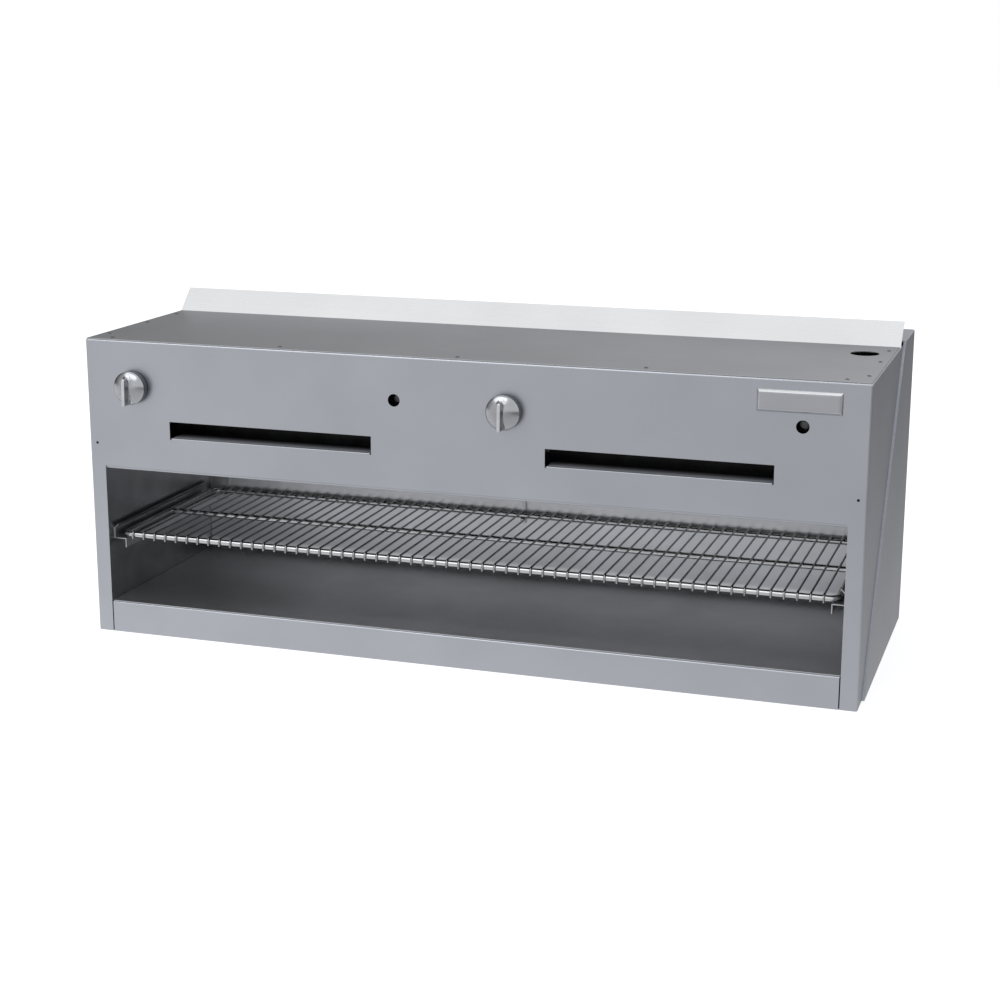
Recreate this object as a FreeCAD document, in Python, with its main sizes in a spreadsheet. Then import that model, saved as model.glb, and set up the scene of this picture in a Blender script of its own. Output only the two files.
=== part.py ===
import FreeCAD, Part
import math
import os
import re
import Sketcher

# Gas cheese melter, two infrared sections side by side, with a sliding wire rack.
# Frame: +X to the right, +Y to the back, +Z up, all sizes in millimetres.
# Every sub-part is drawn with the front panel's face at Y = 0 and the middle of the
# cabinet at X = 0, and is then set back so that the origin is the middle of the footprint.

SIZES = {
    # Cabinet
    "unit_width": 1219.2,
    "unit_depth": 480.0,
    "body_height": 476.25,
    "sheet": 1.2,
    "liner_sheet": 1.0,
    "bend": 3.0,
    "fit_gap": 0.5,
    "overrun": 5.0,
    "side_flange": 22.0,
    "base_upturn": 15.0,
    # Front
    "stile_width": 25.4,
    "front_panel_height": 203.2,
    "front_top_flange": 38.0,
    "front_low_flange": 16.0,
    "front_step_depth": 2.0,
    "front_step_drop": 3.4,
    "lip_height": 50.8,
    "lip_seam": 1.8,
    "lip_flange": 22.0,
    "slot_margin": 136.4,
    "slot_height": 26.1,
    "slot_rise": 52.25,
    "slot_shift": 4.7,
    "slot_shelf": 40.0,
    "slot_relief": 2.5,
    "plate_length": 120.8,
    "plate_height": 32.6,
    "plate_thickness": 4.5,
    "plate_bevel": 3.7,
    "plate_from_side": 39.4,
    "plate_drop": 15.9,
    # Top cover and flue riser
    "cover_inset": 1.5,
    "cover_depth": 320.7,
    "gas_hole_radius": 21.5,
    "gas_from_side": 44.2,
    "gas_from_rear": 75.7,
    "riser_length": 50.8,
    "riser_lean": 45.0,
    "riser_flange": 20.0,
    "riser_hem": 7.0,
    "riser_gap": 0.3,
    # Rear casing
    "casing_sheet": 2.0,
    "casing_gap": 0.7,
    "casing_rise": 4.75,
    "casing_lift": 0.5,
    "casing_hem": 12.7,
    "casing_front_low": 47.6,
    "casing_setback": 34.9,
    "casing_flange": 25.4,
    "casing_bend": 4.0,
    # Cavity
    "cavity_depth": 355.6,
    "cavity_rise": 26.95,
    "floor_gap": 0.8,
    "floor_bend": 18.0,
    "floor_ledge": 12.0,
    "wall_flange": 15.0,
    # Rack, its guides and its rear hooks
    "guide_sheet": 1.5,
    "guide_top": 151.5,
    "guide_front": 18.0,
    "guide_rear_gap": 15.6,
    "guide_ledge": 20.3,
    "guide_lip": 15.0,
    "guide_web": 15.6,
    "guide_flare": 6.5,
    "rest_gap": 0.3,
    "rack_side_gap": 6.6,
    "rail_radius": 4.7625,
    "middle_rail_radius": 4.5,
    "front_rail_depth": 25.4,
    "rear_rail_gap": 10.6,
    "rack_corner": 16.0,
    "wire_radius": 1.6,
    "wire_margin": 20.3875,
    "wire_count": 59,
    "wire_gap": 0.05,
    "wire_tip": 0.4,
    "wire_overhang": 5.0,
    "hook_width": 6.0,
    "hook_depth": 4.6,
    "hook_top_gap": 49.6,
    "hook_drop": 10.0,
    "hook_reach": 17.0,
    "hook_thickness": 3.0,
    "hook_from_side": 36.6,
    # Knobs and gas valves
    "knob_from_end": 80.2,
    "knob_drop": 73.25,
    "knob_radius": 26.2,
    "knob_gap": 0.8,
    "knob_skirt": 14.3,
    "knob_crown": 23.0,
    "knob_projection": 33.5,
    "knob_edge": 1.2,
    "grip_above_rim": 7.7,
    "grip_below_rim": 0.7,
    "grip_base": 6.6,
    "grip_front": 4.0,
    "grip_round": 2.5,
    "stem_radius": 4.0,
    "stem_clearance": 0.05,
    "stem_in_knob": 18.0,
    "stem_in_valve": 22.0,
    "stem_flat": 1.2,
    "stem_hole_radius": 7.0,
    "valve_front": 8.0,
    "bonnet_radius": 11.0,
    "bonnet_length": 8.0,
    "valve_radius": 15.0,
    "valve_length": 28.0,
    "tail_radius": 8.0,
    "tail_length": 8.0,
    "shank_radius": 8.0,
    "shank_length": 4.65,
    "hood_radius": 6.0,
    "hood_length": 14.0,
    "hood_cone": 8.0,
    "hood_tip_radius": 3.0,
    "jet_radius": 0.9,
    # Manifold and gas inlet
    "manifold_depth": 32.0,
    "manifold_radius": 13.35,
    "manifold_wall": 2.9,
    "thread_gap": 0.05,
    "manifold_end_margin": 50.0,
    "manifold_bend": 32.0,
    "boss_radius": 9.0,
    "boss_rise": 5.0,
    "cap_radius": 16.5,
    "cap_length": 18.0,
    "cap_wall": 3.5,
    "inlet_drop": 16.0,
    "inlet_thread_radius": 12.05,
    "inlet_thread_length": 22.0,
    "coupling_radius": 16.7,
    "coupling_lap": 14.0,
    "saddle_width": 18.0,
    "saddle_height": 20.0,
    "saddle_depth": 28.0,
    "saddle_clearance": 0.1,
    "saddle_from_end": 139.6,
    # Pilots
    "pilot_from_burner": 20.7,
    "pilot_rise": 5.7,
    "pilot_hole_radius": 9.5,
    "pilot_valve_front": 20.0,
    "pilot_valve_length": 24.0,
    "pilot_valve_radius": 7.0,
    "pilot_shank_radius": 5.0,
    "pilot_screw_radius": 3.0,
    "pilot_screw_depth": 11.0,
    "pilot_head_radius": 4.6,
    "pilot_head_length": 4.0,
    "pilot_head_gap": 0.3,
    "screw_slot": 1.0,
    "pilot_tube_radius": 3.15,
    "pilot_tube_wall": 0.8,
    "pilot_tube_bend": 12.0,
    "pilot_burner_inset": 2.0,
    "pilot_burner_size": 16.0,
    "pilot_inlet_rise": 8.0,
    "pilot_hood_sheet": 1.5,
    "pilot_hood_reach": 9.0,
    # Burners
    "burner_width": 149.0,
    "burner_wall": 2.5,
    "burner_flange": 12.0,
    "rail_width": 25.0,
    "rail_thickness": 4.0,
    "rail_front_depth": 90.0,
    "rail_clearance": 0.5,
    "tile_thickness": 13.0,
    "tile_gap": 0.3,
    "screen_drop": 10.0,
    "screen_sheet": 1.0,
    "screen_flange": 15.0,
    "screen_bar": 3.0,
    "screen_margin": 6.0,
    "venturi_radius": 16.0,
    "venturi_wall": 1.6,
    "venturi_run": 34.6,
    "venturi_bend_inside": 5.0,
    "inlet_margin": 2.0,
    "venturi_clearance": 0.6,
    "shield_side_gap": 4.2,
    "shield_pipe_gap": 5.0,
    "shield_front_overhang": 6.0,
    "shield_back_overhang": 10.0,
    "shield_rise": 27.0,
    "shield_apron": 65.0,
    "baffle_foot": 15.0,
    # Screws
    "screw_head_radius": 3.2,
    "screw_head_height": 0.9,
    "stile_head_radius": 2.1,
    "screw_shank_radius": 1.6,
    "screw_hole_clearance": 0.1,
    "screw_length": 2.9,
    "screw_recess": 0.6,
    "cover_screw_from_side": 12.7,
    "cover_screw_depth": 19.0,
    "cover_screw_from_end": 38.1,
    "stile_screw_rise": 36.95,
    "splice_sheet": 1.5,
    "splice_lap": 20.0,
}

# Screws along each side of the top cover, as shares of the cover's depth
SIDE_SCREW_SHARES = (0.17, 0.555, 0.875)
# Cells of the burner screen along the burner and across it, and the tiles in one burner
SCREEN_COLUMNS = 18
SCREEN_ROWS = 7
TILE_COUNT = 3
SECTIONS = (("left", -1), ("right", 1))

# Sizes worked out from the driving ones
WORKED_OUT = {
    "half_width": "unit_width / 2",
    "opening_half": "half_width - stile_width",
    "section_pitch": "unit_width / 2",
    "set_back": "(knob_projection - unit_depth) / 2",
    "cover_underside": "body_height - sheet",
    "panel_bottom": "body_height - front_panel_height",
    "panel_foot": "panel_bottom - front_step_drop",
    "side_depth": "unit_depth - casing_sheet - casing_gap",
    "side_inside": "half_width - sheet",
    "casing_inside": "half_width + casing_sheet",
    "casing_outside": "casing_inside + casing_sheet",
    "casing_top": "body_height + casing_rise",
    "slot_bottom": "panel_bottom + slot_rise",
    "slot_top": "slot_bottom + slot_height",
    "slot_length": "section_pitch - 2 * slot_margin",
    "plate_bottom": "body_height - plate_drop - plate_height",
    "cavity_top": "panel_bottom + cavity_rise",
    "casing_front_high": "cover_depth + casing_setback",
    "wall_outside": "opening_half + liner_sheet",
    "wall_depth": "cavity_depth + floor_ledge",
    "wall_foot": "lip_height - 2 * liner_sheet",
    "rail_top": "cavity_top + rail_thickness",
    "rack_height": "guide_top + rest_gap + rail_radius",
    "rack_half": "opening_half - rack_side_gap - rail_radius",
    "rear_rail_depth": "cavity_depth - rear_rail_gap",
    "wire_height": "rack_height + rail_radius + wire_gap + wire_radius",
    "wire_pitch": "2 * (rack_half - wire_margin) / (wire_count - 1)",
    "hook_top": "cavity_top - hook_top_gap",
    "knob_height": "body_height - knob_drop",
    "grip_above": "knob_radius - grip_above_rim",
    "grip_below": "knob_radius - grip_below_rim",
    "boss_top": "knob_height - valve_radius - shank_length",
    "manifold_height": "boss_top - boss_rise - manifold_radius",
    "manifold_end": "half_width - manifold_end_margin",
    "gas_side": "half_width - gas_from_side",
    "gas_from_front": "cover_depth - gas_from_rear",
    "inlet_top": "cover_underside - inlet_drop",
    "pipe_top": "inlet_top - inlet_thread_length",
    "dome_rise": "knob_crown - knob_skirt",
    "dome_radius": "(knob_radius * knob_radius + dome_rise * dome_rise) / (2 * dome_rise)",
    "valve_back": "valve_front + bonnet_length + valve_length",
    "burner_margin": "knob_from_end + venturi_run",
    "burner_length": "section_pitch - 2 * burner_margin",
    "burner_height": "2 * (venturi_radius + inlet_margin)",
    "rail_half_spread": "burner_width / 2 + rail_clearance",
    "burner_depth": "rail_front_depth + rail_width + rail_half_spread",
    "burner_inlet_height": "rail_top + burner_height / 2",
    "shield_left": "half_width - knob_from_end + venturi_radius + shield_side_gap",
    "shield_right": "gas_side - coupling_radius - shield_pipe_gap",
    "shield_front": "rail_front_depth - shield_front_overhang",
    "shield_back": "burner_depth + rail_half_spread + rail_width + shield_back_overhang",
    "shield_top": "knob_height + shield_rise",
    "baffle_top": "cover_underside - sheet - fit_gap",
    "screen_cell_x": "(burner_length - 2 * screen_margin - screen_bar * %d) / %d"
    % (SCREEN_COLUMNS - 1, SCREEN_COLUMNS),
    "screen_inside": "burner_width / 2 + burner_flange - screen_flange - screen_sheet",
    "screen_cell_y": "(2 * screen_inside - 2 * screen_margin - screen_bar * %d) / %d"
    % (SCREEN_ROWS - 1, SCREEN_ROWS),
    "pilot_from_end": "burner_margin - pilot_from_burner",
    "pilot_height": "knob_height + pilot_rise",
    "pilot_back": "pilot_valve_front + pilot_valve_length",
    "pilot_burner_depth": "rail_front_depth + pilot_burner_inset",
    "stile_screw_height": "panel_bottom + stile_screw_rise",
}

doc = FreeCAD.newDocument("CheeseMelter")


# Sizes: the sheet, and formulas that are spelt out in its cells


def make_sheet():
    """The spreadsheet that holds every driving size under its own name."""
    sheet = doc.addObject("Spreadsheet::Sheet", "Sizes")
    for row, (name, number) in enumerate(SIZES.items(), start=1):
        sheet.set("A%d" % row, name)
        sheet.set("B%d" % row, str(number))
        sheet.setAlias("B%d" % row, name)
    doc.recompute()
    return sheet


SHEET = make_sheet()


def formula(text):
    """Spell a size out in the sheet's cells, opening up the worked-out names first."""

    def spell(found):
        word = found.group()
        if word in WORKED_OUT:
            return "(" + formula(WORKED_OUT[word]) + ")"
        if word in SIZES:
            return "Sizes." + word
        return word

    return re.sub(r"[a-z_]\w*", spell, str(text))


def value(text):
    """The number that a formula gives now, in millimetres or degrees."""
    result = SHEET.evalExpression(formula(text))
    return float(getattr(result, "Value", result))


def bind(thing, size, text):
    """Tie one property or constraint of an object to a formula."""
    thing.setExpression(size, formula(text))


def point(x, y, z):
    return FreeCAD.Vector(value(x), value(y), value(z))


def settle(thing, label, x="0", y="0", z="0"):
    """Name a finished sub-part and put it in the object's frame."""
    thing.Label = label
    bind(thing, "Placement.Base.x", x)
    bind(thing, "Placement.Base.y", "%s + set_back" % y)
    bind(thing, "Placement.Base.z", z)
    FINISHED.append(thing)
    return thing


FINISHED = []


# Bodies: sketches, pads, pockets and fillets


def new_body(name):
    return doc.addObject("PartDesign::Body", name)


def attach(body, name, plane, offset):
    """A sketch on one of the body's own origin planes, moved along its normal by offset."""
    sketch = body.newObject("Sketcher::SketchObject", name)
    for feature in body.Origin.OriginFeatures:
        if feature.Role == plane + "_Plane":
            sketch.AttachmentSupport = [(feature, "")]
    sketch.MapMode = "FlatFace"
    bind(sketch, "AttachmentOffset.Base.z", offset)
    return sketch


def locate(sketch, item, vertex, x, y):
    """Hold one point of a sketch at two formulas."""
    for kind, text in (("DistanceX", x), ("DistanceY", y)):
        index = sketch.addConstraint(Sketcher.Constraint(kind, -1, 1, item, vertex, value(text)))
        bind(sketch, "Constraints[%d]" % index, text)


def outline(body, name, plane, corners, offset="0"):
    """A closed straight-sided outline through corners, each a pair of formulas."""
    sketch = attach(body, name, plane, offset)
    add_loop(sketch, corners)
    return sketch


def add_loop(sketch, corners):
    places = [FreeCAD.Vector(value(x), value(y), 0) for x, y in corners]
    first = sketch.GeometryCount
    for start, end in zip(places, places[1:] + places[:1]):
        sketch.addGeometry(Part.LineSegment(start, end), False)
    for index, (x, y) in enumerate(corners):
        following = first + (index + 1) % len(corners)
        sketch.addConstraint(Sketcher.Constraint("Coincident", first + index, 2, following, 1))
        locate(sketch, first + index, 1, x, y)


def rounds(body, name, plane, circles, offset="0"):
    """A sketch of circles, each given as its centre's two formulas and its radius."""
    sketch = attach(body, name, plane, offset)
    for index, (x, y, radius) in enumerate(circles):
        centre = FreeCAD.Vector(value(x), value(y), 0)
        sketch.addGeometry(Part.Circle(centre, FreeCAD.Vector(0, 0, 1), value(radius)), False)
        locate(sketch, index, 3, x, y)
        held = sketch.addConstraint(Sketcher.Constraint("Radius", index, value(radius)))
        bind(sketch, "Constraints[%d]" % held, radius)
    return sketch


def rectangle(left, right, low, high):
    return [(left, low), (right, low), (right, high), (left, high)]


def pad(body, sketch, length, reverse=False, symmetric=False):
    feature = body.newObject("PartDesign::Pad", sketch.Name + "Pad")
    feature.Profile = sketch
    feature.Reversed = reverse
    if symmetric:
        feature.SideType = "Symmetric"
    bind(feature, "Length", length)
    doc.recompute()
    return feature


def pocket(body, sketch, length=None, reverse=False):
    """Cut a sketch out of the body, right through both ways when no length is given."""
    before = body.Shape.Volume
    feature = body.newObject("PartDesign::Pocket", sketch.Name + "Pocket")
    feature.Profile = sketch
    feature.Reversed = reverse
    if length is None:
        feature.Type = "ThroughAll"
        feature.SideType = "Symmetric"
    else:
        bind(feature, "Length", length)
    doc.recompute()
    if body.Shape.Volume >= before:
        raise ValueError("%s cuts nothing" % feature.Name)
    return feature


def edges_at(shape, lines):
    """Names of the edges that run along any of lines, each an axis and its two other places."""
    axes = "xyz"
    wanted = []
    for axis, first, second in lines:
        others = [index for index in range(3) if axes[index] != axis]
        wanted.append((others, value(first), value(second)))
    names = []
    for number, edge in enumerate(shape.Edges, start=1):
        ends = [vertex.Point for vertex in edge.Vertexes]
        for others, first, second in wanted:
            near = [
                abs(end[others[0]] - first) < TINY and abs(end[others[1]] - second) < TINY
                for end in ends
            ]
            if len(ends) == 2 and all(near):
                names.append("Edge%d" % number)
    return names


TINY = 1e-4


def fillet(body, radius, lines):
    """Round the straight edges of the body that run along lines."""
    tip = body.Tip
    feature = body.newObject("PartDesign::Fillet", body.Name + "Fillet")
    feature.Base = (tip, edges_at(tip.Shape, lines))
    bind(feature, "Radius", radius)
    doc.recompute()
    return feature


# Simple solids: boxes, cylinders, cones and what is joined or cut from them

TURNS = {
    "+X": FreeCAD.Rotation(FreeCAD.Vector(0, 1, 0), 90),
    "+Y": FreeCAD.Rotation(FreeCAD.Vector(1, 0, 0), -90),
    "+Z": FreeCAD.Rotation(),
}


def set_at(thing, x, y, z):
    for side, text in (("x", x), ("y", y), ("z", z)):
        bind(thing, "Placement.Base.%s" % side, text)


def block(name, x, y, z, length, width, height):
    box = doc.addObject("Part::Box", name)
    bind(box, "Length", length)
    bind(box, "Width", width)
    bind(box, "Height", height)
    set_at(box, x, y, z)
    return box


def cylinder(name, axis, radius, length, x="0", y="0", z="0"):
    rod = doc.addObject("Part::Cylinder", name)
    bind(rod, "Radius", radius)
    bind(rod, "Height", length)
    rod.Placement = FreeCAD.Placement(FreeCAD.Vector(), TURNS[axis])
    set_at(rod, x, y, z)
    return rod


def cone(name, axis, radius, end_radius, length, x="0", y="0", z="0"):
    taper = doc.addObject("Part::Cone", name)
    bind(taper, "Radius1", radius)
    bind(taper, "Radius2", end_radius)
    bind(taper, "Height", length)
    taper.Placement = FreeCAD.Placement(FreeCAD.Vector(), TURNS[axis])
    set_at(taper, x, y, z)
    return taper


def fuse(name, solids):
    joined = doc.addObject("Part::MultiFuse", name)
    joined.Shapes = solids
    return joined


def cut(name, solid, tool):
    rest = doc.addObject("Part::Cut", name)
    rest.Base = solid
    rest.Tool = tool
    return rest


# Bent tubes and groups: shapes with no sketch of their own


def rounded_path(points, bend, closed=False):
    """Straight runs through points, joined by arcs of one radius that touch both runs."""
    count = len(points)
    corners = range(count) if closed else range(1, count - 1)
    arcs = {}
    for index in corners:
        corner = points[index]
        back = (points[index - 1] - corner).normalize()
        ahead = (points[(index + 1) % count] - corner).normalize()
        half_turn = back.getAngle(ahead) / 2
        reach = bend / math.tan(half_turn)
        middle = (back + ahead).normalize()
        crest = corner + middle * (bend / math.sin(half_turn) - bend)
        arcs[index] = (corner + back * reach, crest, corner + ahead * reach)
    edges = []
    for index in range(count if closed else count - 1):
        following = (index + 1) % count
        start = arcs[index][2] if index in arcs else points[index]
        end = arcs[following][0] if following in arcs else points[following]
        if start.distanceToPoint(end) > TINY:
            edges.append(Part.LineSegment(start, end).toShape())
        if following in arcs:
            edges.append(Part.Arc(*arcs[following]).toShape())
    return Part.Wire(edges)


def rod_along(path, radius):
    """A round solid rod that follows a path."""
    start = path.Edges[0]
    ahead = start.tangentAt(start.FirstParameter)
    ring = Part.Wire(Part.Circle(start.valueAt(start.FirstParameter), ahead, radius).toShape())
    return path.makePipeShell([ring], True, False)


def tube_along(path, radius, wall):
    return rod_along(path, radius).cut(rod_along(path, radius - wall))


def feature_of(name, shape):
    made = doc.addObject("Part::Feature", name)
    made.Shape = shape
    return made


# Cabinet shell


def side_panel(name, side):
    """Outer side with the stile at its front and a flange that carries the cover."""

    def across(text):
        return "%d * (%s)" % (side, text)

    body = new_body("SidePanel" + name.title())
    plan = [
        (across("half_width"), "0"),
        (across("opening_half"), "0"),
        (across("opening_half"), "sheet"),
        (across("side_inside"), "sheet"),
        (across("side_inside"), "side_depth"),
        (across("half_width"), "side_depth"),
    ]
    pad(body, outline(body, body.Name + "Plan", "XY", plan), "cover_underside")
    flange = rectangle(across("side_inside - side_flange"), across("half_width"), "sheet", "side_depth")
    sketch = outline(body, body.Name + "Flange", "XY", flange, "cover_underside - sheet")
    pad(body, sketch, "sheet")
    screw = rounds(
        body,
        body.Name + "StileHole",
        "XZ",
        [(across("half_width - cover_screw_from_side"), "stile_screw_height", SCREW_HOLE)],
        "-sheet - overrun",
    )
    pocket(body, screw, "sheet + 2 * overrun", reverse=True)
    holes = rounds(body, body.Name + "FlangeHoles", "XY", side_screw_circles(side), "cover_underside")
    pocket(body, holes, "sheet + overrun")
    top_front = [
        ("z", across("half_width"), "0"),
        ("y", across("half_width"), "cover_underside"),
        ("x", "0", "cover_underside"),
    ]
    fillet(body, "bend", top_front)
    fillet(body, "bend - sheet", [("z", across("side_inside"), "sheet")])
    return settle(body, "side_panel_" + name)


SCREW_HOLE = "screw_shank_radius + screw_hole_clearance"


def side_screw_circles(side):
    """The cover's screw holes along one side."""
    across = "%d * (half_width - cover_screw_from_side)" % side
    return [(across, "%s * cover_depth" % share, SCREW_HOLE) for share in SIDE_SCREW_SHARES]


def front_screw_circles():
    """The cover's screw holes along the front."""
    across = "%d * (half_width - cover_screw_from_end) / 2"
    return [(across % step, "cover_screw_depth", SCREW_HOLE) for step in range(-2, 3)]


def knob_line(section):
    """Where a section's knob stands, from the section's left end."""
    return section + " - section_pitch / 2 + knob_from_end"


def pilot_line(section):
    """Where a section's pilot stands, from the section's right end."""
    return section + " + section_pitch / 2 - pilot_from_end"


def front_panel():
    """Upper front between the stiles, stepped back along its foot, with slots and holes."""
    body = new_body("FrontPanel")
    profile = [
        ("0", "panel_bottom"),
        ("0", "cover_underside"),
        ("front_top_flange", "cover_underside"),
        ("front_top_flange", "cover_underside - sheet"),
        ("sheet", "cover_underside - sheet"),
        ("sheet", "panel_bottom + sheet"),
        ("front_step_depth + sheet", "panel_bottom + sheet"),
        ("front_step_depth + sheet", "panel_foot + sheet"),
        ("front_low_flange", "panel_foot + sheet"),
        ("front_low_flange", "panel_foot"),
        ("front_step_depth", "panel_foot"),
        ("front_step_depth", "panel_bottom"),
    ]
    pad(body, outline(body, "FrontPanelProfile", "YZ", profile), "2 * opening_half", symmetric=True)
    for name, side in SECTIONS:
        middle = "%d * section_pitch / 2 + slot_shift" % side
        left = middle + " - slot_length / 2"
        right = middle + " + slot_length / 2"
        slot = [
            (left, "slot_top"),
            (right, "slot_top"),
            (right, "slot_bottom - slot_relief"),
            (right + " - slot_relief", "slot_bottom - slot_relief"),
            (right + " - slot_relief", "slot_bottom"),
            (left + " + slot_relief", "slot_bottom"),
            (left + " + slot_relief", "slot_bottom - slot_relief"),
            (left, "slot_bottom - slot_relief"),
        ]
        pocket(body, outline(body, "Slot" + name.title(), "XZ", slot))
        shelf = rectangle(
            left + " + slot_relief", right + " - slot_relief", "slot_bottom - sheet", "slot_bottom"
        )
        sketch = outline(body, "Shelf" + name.title(), "XZ", shelf)
        pad(body, sketch, "slot_shelf", reverse=True)
    openings = []
    for name, side in SECTIONS:
        section = "%d * section_pitch / 2" % side
        openings.append((knob_line(section), "knob_height", "stem_hole_radius"))
        openings.append((pilot_line(section), "pilot_height", "pilot_hole_radius"))
    pocket(body, rounds(body, "FrontPanelHoles", "XZ", openings))
    screws = rounds(body, "FrontPanelScrewHoles", "XY", front_screw_circles(), "cover_underside")
    pocket(body, screws, "sheet + overrun")
    fillet(body, "bend", [("x", "0", "cover_underside")])
    fillet(body, "bend - sheet", [("x", "sheet", "cover_underside - sheet")])
    fillet(body, "sheet", [("x", "0", "panel_bottom"), ("x", "front_step_depth", "panel_foot")])
    fillet(body, "sheet", [("x", "0", "slot_bottom")])
    return settle(body, "front_panel")


def splice_plate(name, side):
    """Strip behind the joint of stile and front panel."""
    body = new_body("SplicePlate" + name.title())
    inner = "%d * (opening_half - splice_lap)" % side
    outer = "%d * (half_width - bend - fit_gap)" % side
    plate = rectangle(inner, outer, "cavity_top + fit_gap", "cover_underside - bend - fit_gap")
    sketch = outline(body, body.Name + "Face", "XZ", plate, "-sheet")
    pad(body, sketch, "splice_sheet", reverse=True)
    across = "%d * (half_width - cover_screw_from_side)" % side
    hole = rounds(body, body.Name + "Hole", "XZ", [(across, "stile_screw_height", SCREW_HOLE)])
    pocket(body, hole)
    return settle(body, "splice_plate_" + name)


def lower_front_rail():
    """Front lip under the cavity, a channel with a gap to each stile."""
    body = new_body("LowerFrontRail")
    top = "lip_height - liner_sheet"
    profile = [
        ("0", "0"),
        ("0", top),
        ("lip_flange", top),
        ("lip_flange", top + " - sheet"),
        ("sheet", top + " - sheet"),
        ("sheet", "2 * sheet"),
        ("lip_flange", "2 * sheet"),
        ("lip_flange", "sheet"),
        ("sheet", "sheet"),
        ("sheet", "0"),
    ]
    sketch = outline(body, "LowerFrontRailProfile", "YZ", profile)
    pad(body, sketch, "2 * (opening_half - lip_seam)", symmetric=True)
    fillet(body, "bend", [("x", "0", top)])
    fillet(body, "bend - sheet", [("x", "sheet", top + " - sheet")])
    return settle(body, "lower_front_rail")


def base_pan():
    """Bottom tray that closes the plinth and stands on the counter."""
    body = new_body("BasePan")
    half = "side_inside - fit_gap"
    section = [
        ("-(%s)" % half, "0"),
        (half, "0"),
        (half, "base_upturn"),
        (half + " - sheet", "base_upturn"),
        (half + " - sheet", "sheet"),
        ("-(%s) + sheet" % half, "sheet"),
        ("-(%s) + sheet" % half, "base_upturn"),
        ("-(%s)" % half, "base_upturn"),
    ]
    sketch = outline(body, "BasePanSection", "XZ", section, "-bend")
    pad(body, sketch, "side_depth - bend", reverse=True)
    return settle(body, "base_pan")


def top_cover():
    """Flat cover with the gas inlet hole near its right rear corner."""
    body = new_body("TopCover")
    half = "half_width - cover_inset"
    plan = rectangle("-(%s)" % half, half, "cover_inset", "cover_depth")
    pad(body, outline(body, "TopCoverPlan", "XY", plan, "cover_underside"), "sheet")
    circles = [("gas_side", "gas_from_front", "gas_hole_radius")] + front_screw_circles()
    circles += side_screw_circles(-1) + side_screw_circles(1)
    pocket(body, rounds(body, "TopCoverHoles", "XY", circles, "body_height"), "sheet + overrun")
    return settle(body, "top_cover")


def flue_riser():
    """Sheet behind the cover that leans back and is hemmed along its top."""
    body = new_body("FlueRiser")
    front = "cover_depth + riser_gap"
    foot = "cover_underside"
    leg = [
        (front, foot),
        along_riser("riser_length", "0"),
        along_riser("riser_length", "2 * sheet"),
        along_riser("riser_length - riser_hem", "2 * sheet"),
        along_riser("riser_length - riser_hem", "sheet"),
        (front + " + sheet / cos(riser_lean)", foot),
    ]
    pad(body, outline(body, "FlueRiserLeg", "YZ", leg), "unit_width", symmetric=True)
    flange = rectangle(
        "cover_depth - riser_flange", front + " + sheet / cos(riser_lean)", foot + " - sheet", foot
    )
    sketch = outline(body, "FlueRiserFlange", "YZ", flange)
    pad(body, sketch, "2 * (side_inside - side_flange - fit_gap)", symmetric=True)
    return settle(body, "flue_riser")


def along_riser(up, back):
    """A point at a distance up the riser's front face and a depth behind that face."""
    y = "cover_depth + riser_gap + (%s) * sin(riser_lean) + (%s) * cos(riser_lean)" % (up, back)
    z = "cover_underside + (%s) * cos(riser_lean) - (%s) * sin(riser_lean)" % (up, back)
    return (y, z)


def rear_casing():
    """Outer wrap round the back, whose wings lap the sides and end on a slope, hemmed inwards."""
    body = new_body("RearCasing")
    back_inside = "unit_depth - casing_sheet"
    plan = [
        ("-(casing_outside)", "casing_front_low"),
        ("-(casing_outside)", "unit_depth"),
        ("casing_outside", "unit_depth"),
        ("casing_outside", "casing_front_low"),
        ("casing_inside", "casing_front_low"),
        ("casing_inside", back_inside),
        ("-(casing_inside)", back_inside),
        ("-(casing_inside)", "casing_front_low"),
    ]
    sketch = outline(body, "RearCasingPlan", "XY", plan, "casing_lift")
    pad(body, sketch, "casing_top - casing_lift")
    slope = [
        ("casing_front_low", "casing_lift"),
        ("casing_front_high", "casing_top"),
        ("casing_front_high", "casing_top + overrun"),
        ("casing_front_low - overrun", "casing_top + overrun"),
        ("casing_front_low - overrun", "casing_lift"),
    ]
    pocket(body, outline(body, "RearCasingSlope", "YZ", slope))
    hem = [
        ("casing_front_low", "casing_lift"),
        ("casing_front_low + casing_hem", "casing_lift"),
        ("casing_front_high + casing_hem", "casing_top"),
        ("casing_front_high", "casing_top"),
    ]
    pad(body, outline(body, "RearCasingHemRight", "YZ", hem, "half_width"), "casing_sheet")
    pad(body, outline(body, "RearCasingHemLeft", "YZ", hem, "-(casing_inside)"), "casing_sheet")
    edge = "(casing_inside - casing_flange)"
    rim = [
        ("-(casing_outside)", "casing_front_high"),
        ("-" + edge, "casing_front_high"),
        ("-" + edge, back_inside + " - casing_flange"),
        (edge, back_inside + " - casing_flange"),
        (edge, "casing_front_high"),
        ("casing_outside", "casing_front_high"),
        ("casing_outside", "unit_depth"),
        ("-(casing_outside)", "unit_depth"),
    ]
    sketch = outline(body, "RearCasingRim", "XY", rim, "casing_top - casing_sheet")
    pad(body, sketch, "casing_sheet")
    outer = [("z", "casing_outside", "unit_depth"), ("z", "-(casing_outside)", "unit_depth")]
    fillet(body, "casing_bend", outer)
    inner = [("z", "casing_inside", back_inside), ("z", "-(casing_inside)", back_inside)]
    fillet(body, "casing_bend - casing_sheet", inner)
    fillet(body, "casing_sheet", [("x", "unit_depth", "casing_top")])
    return settle(body, "rear_casing")


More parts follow.
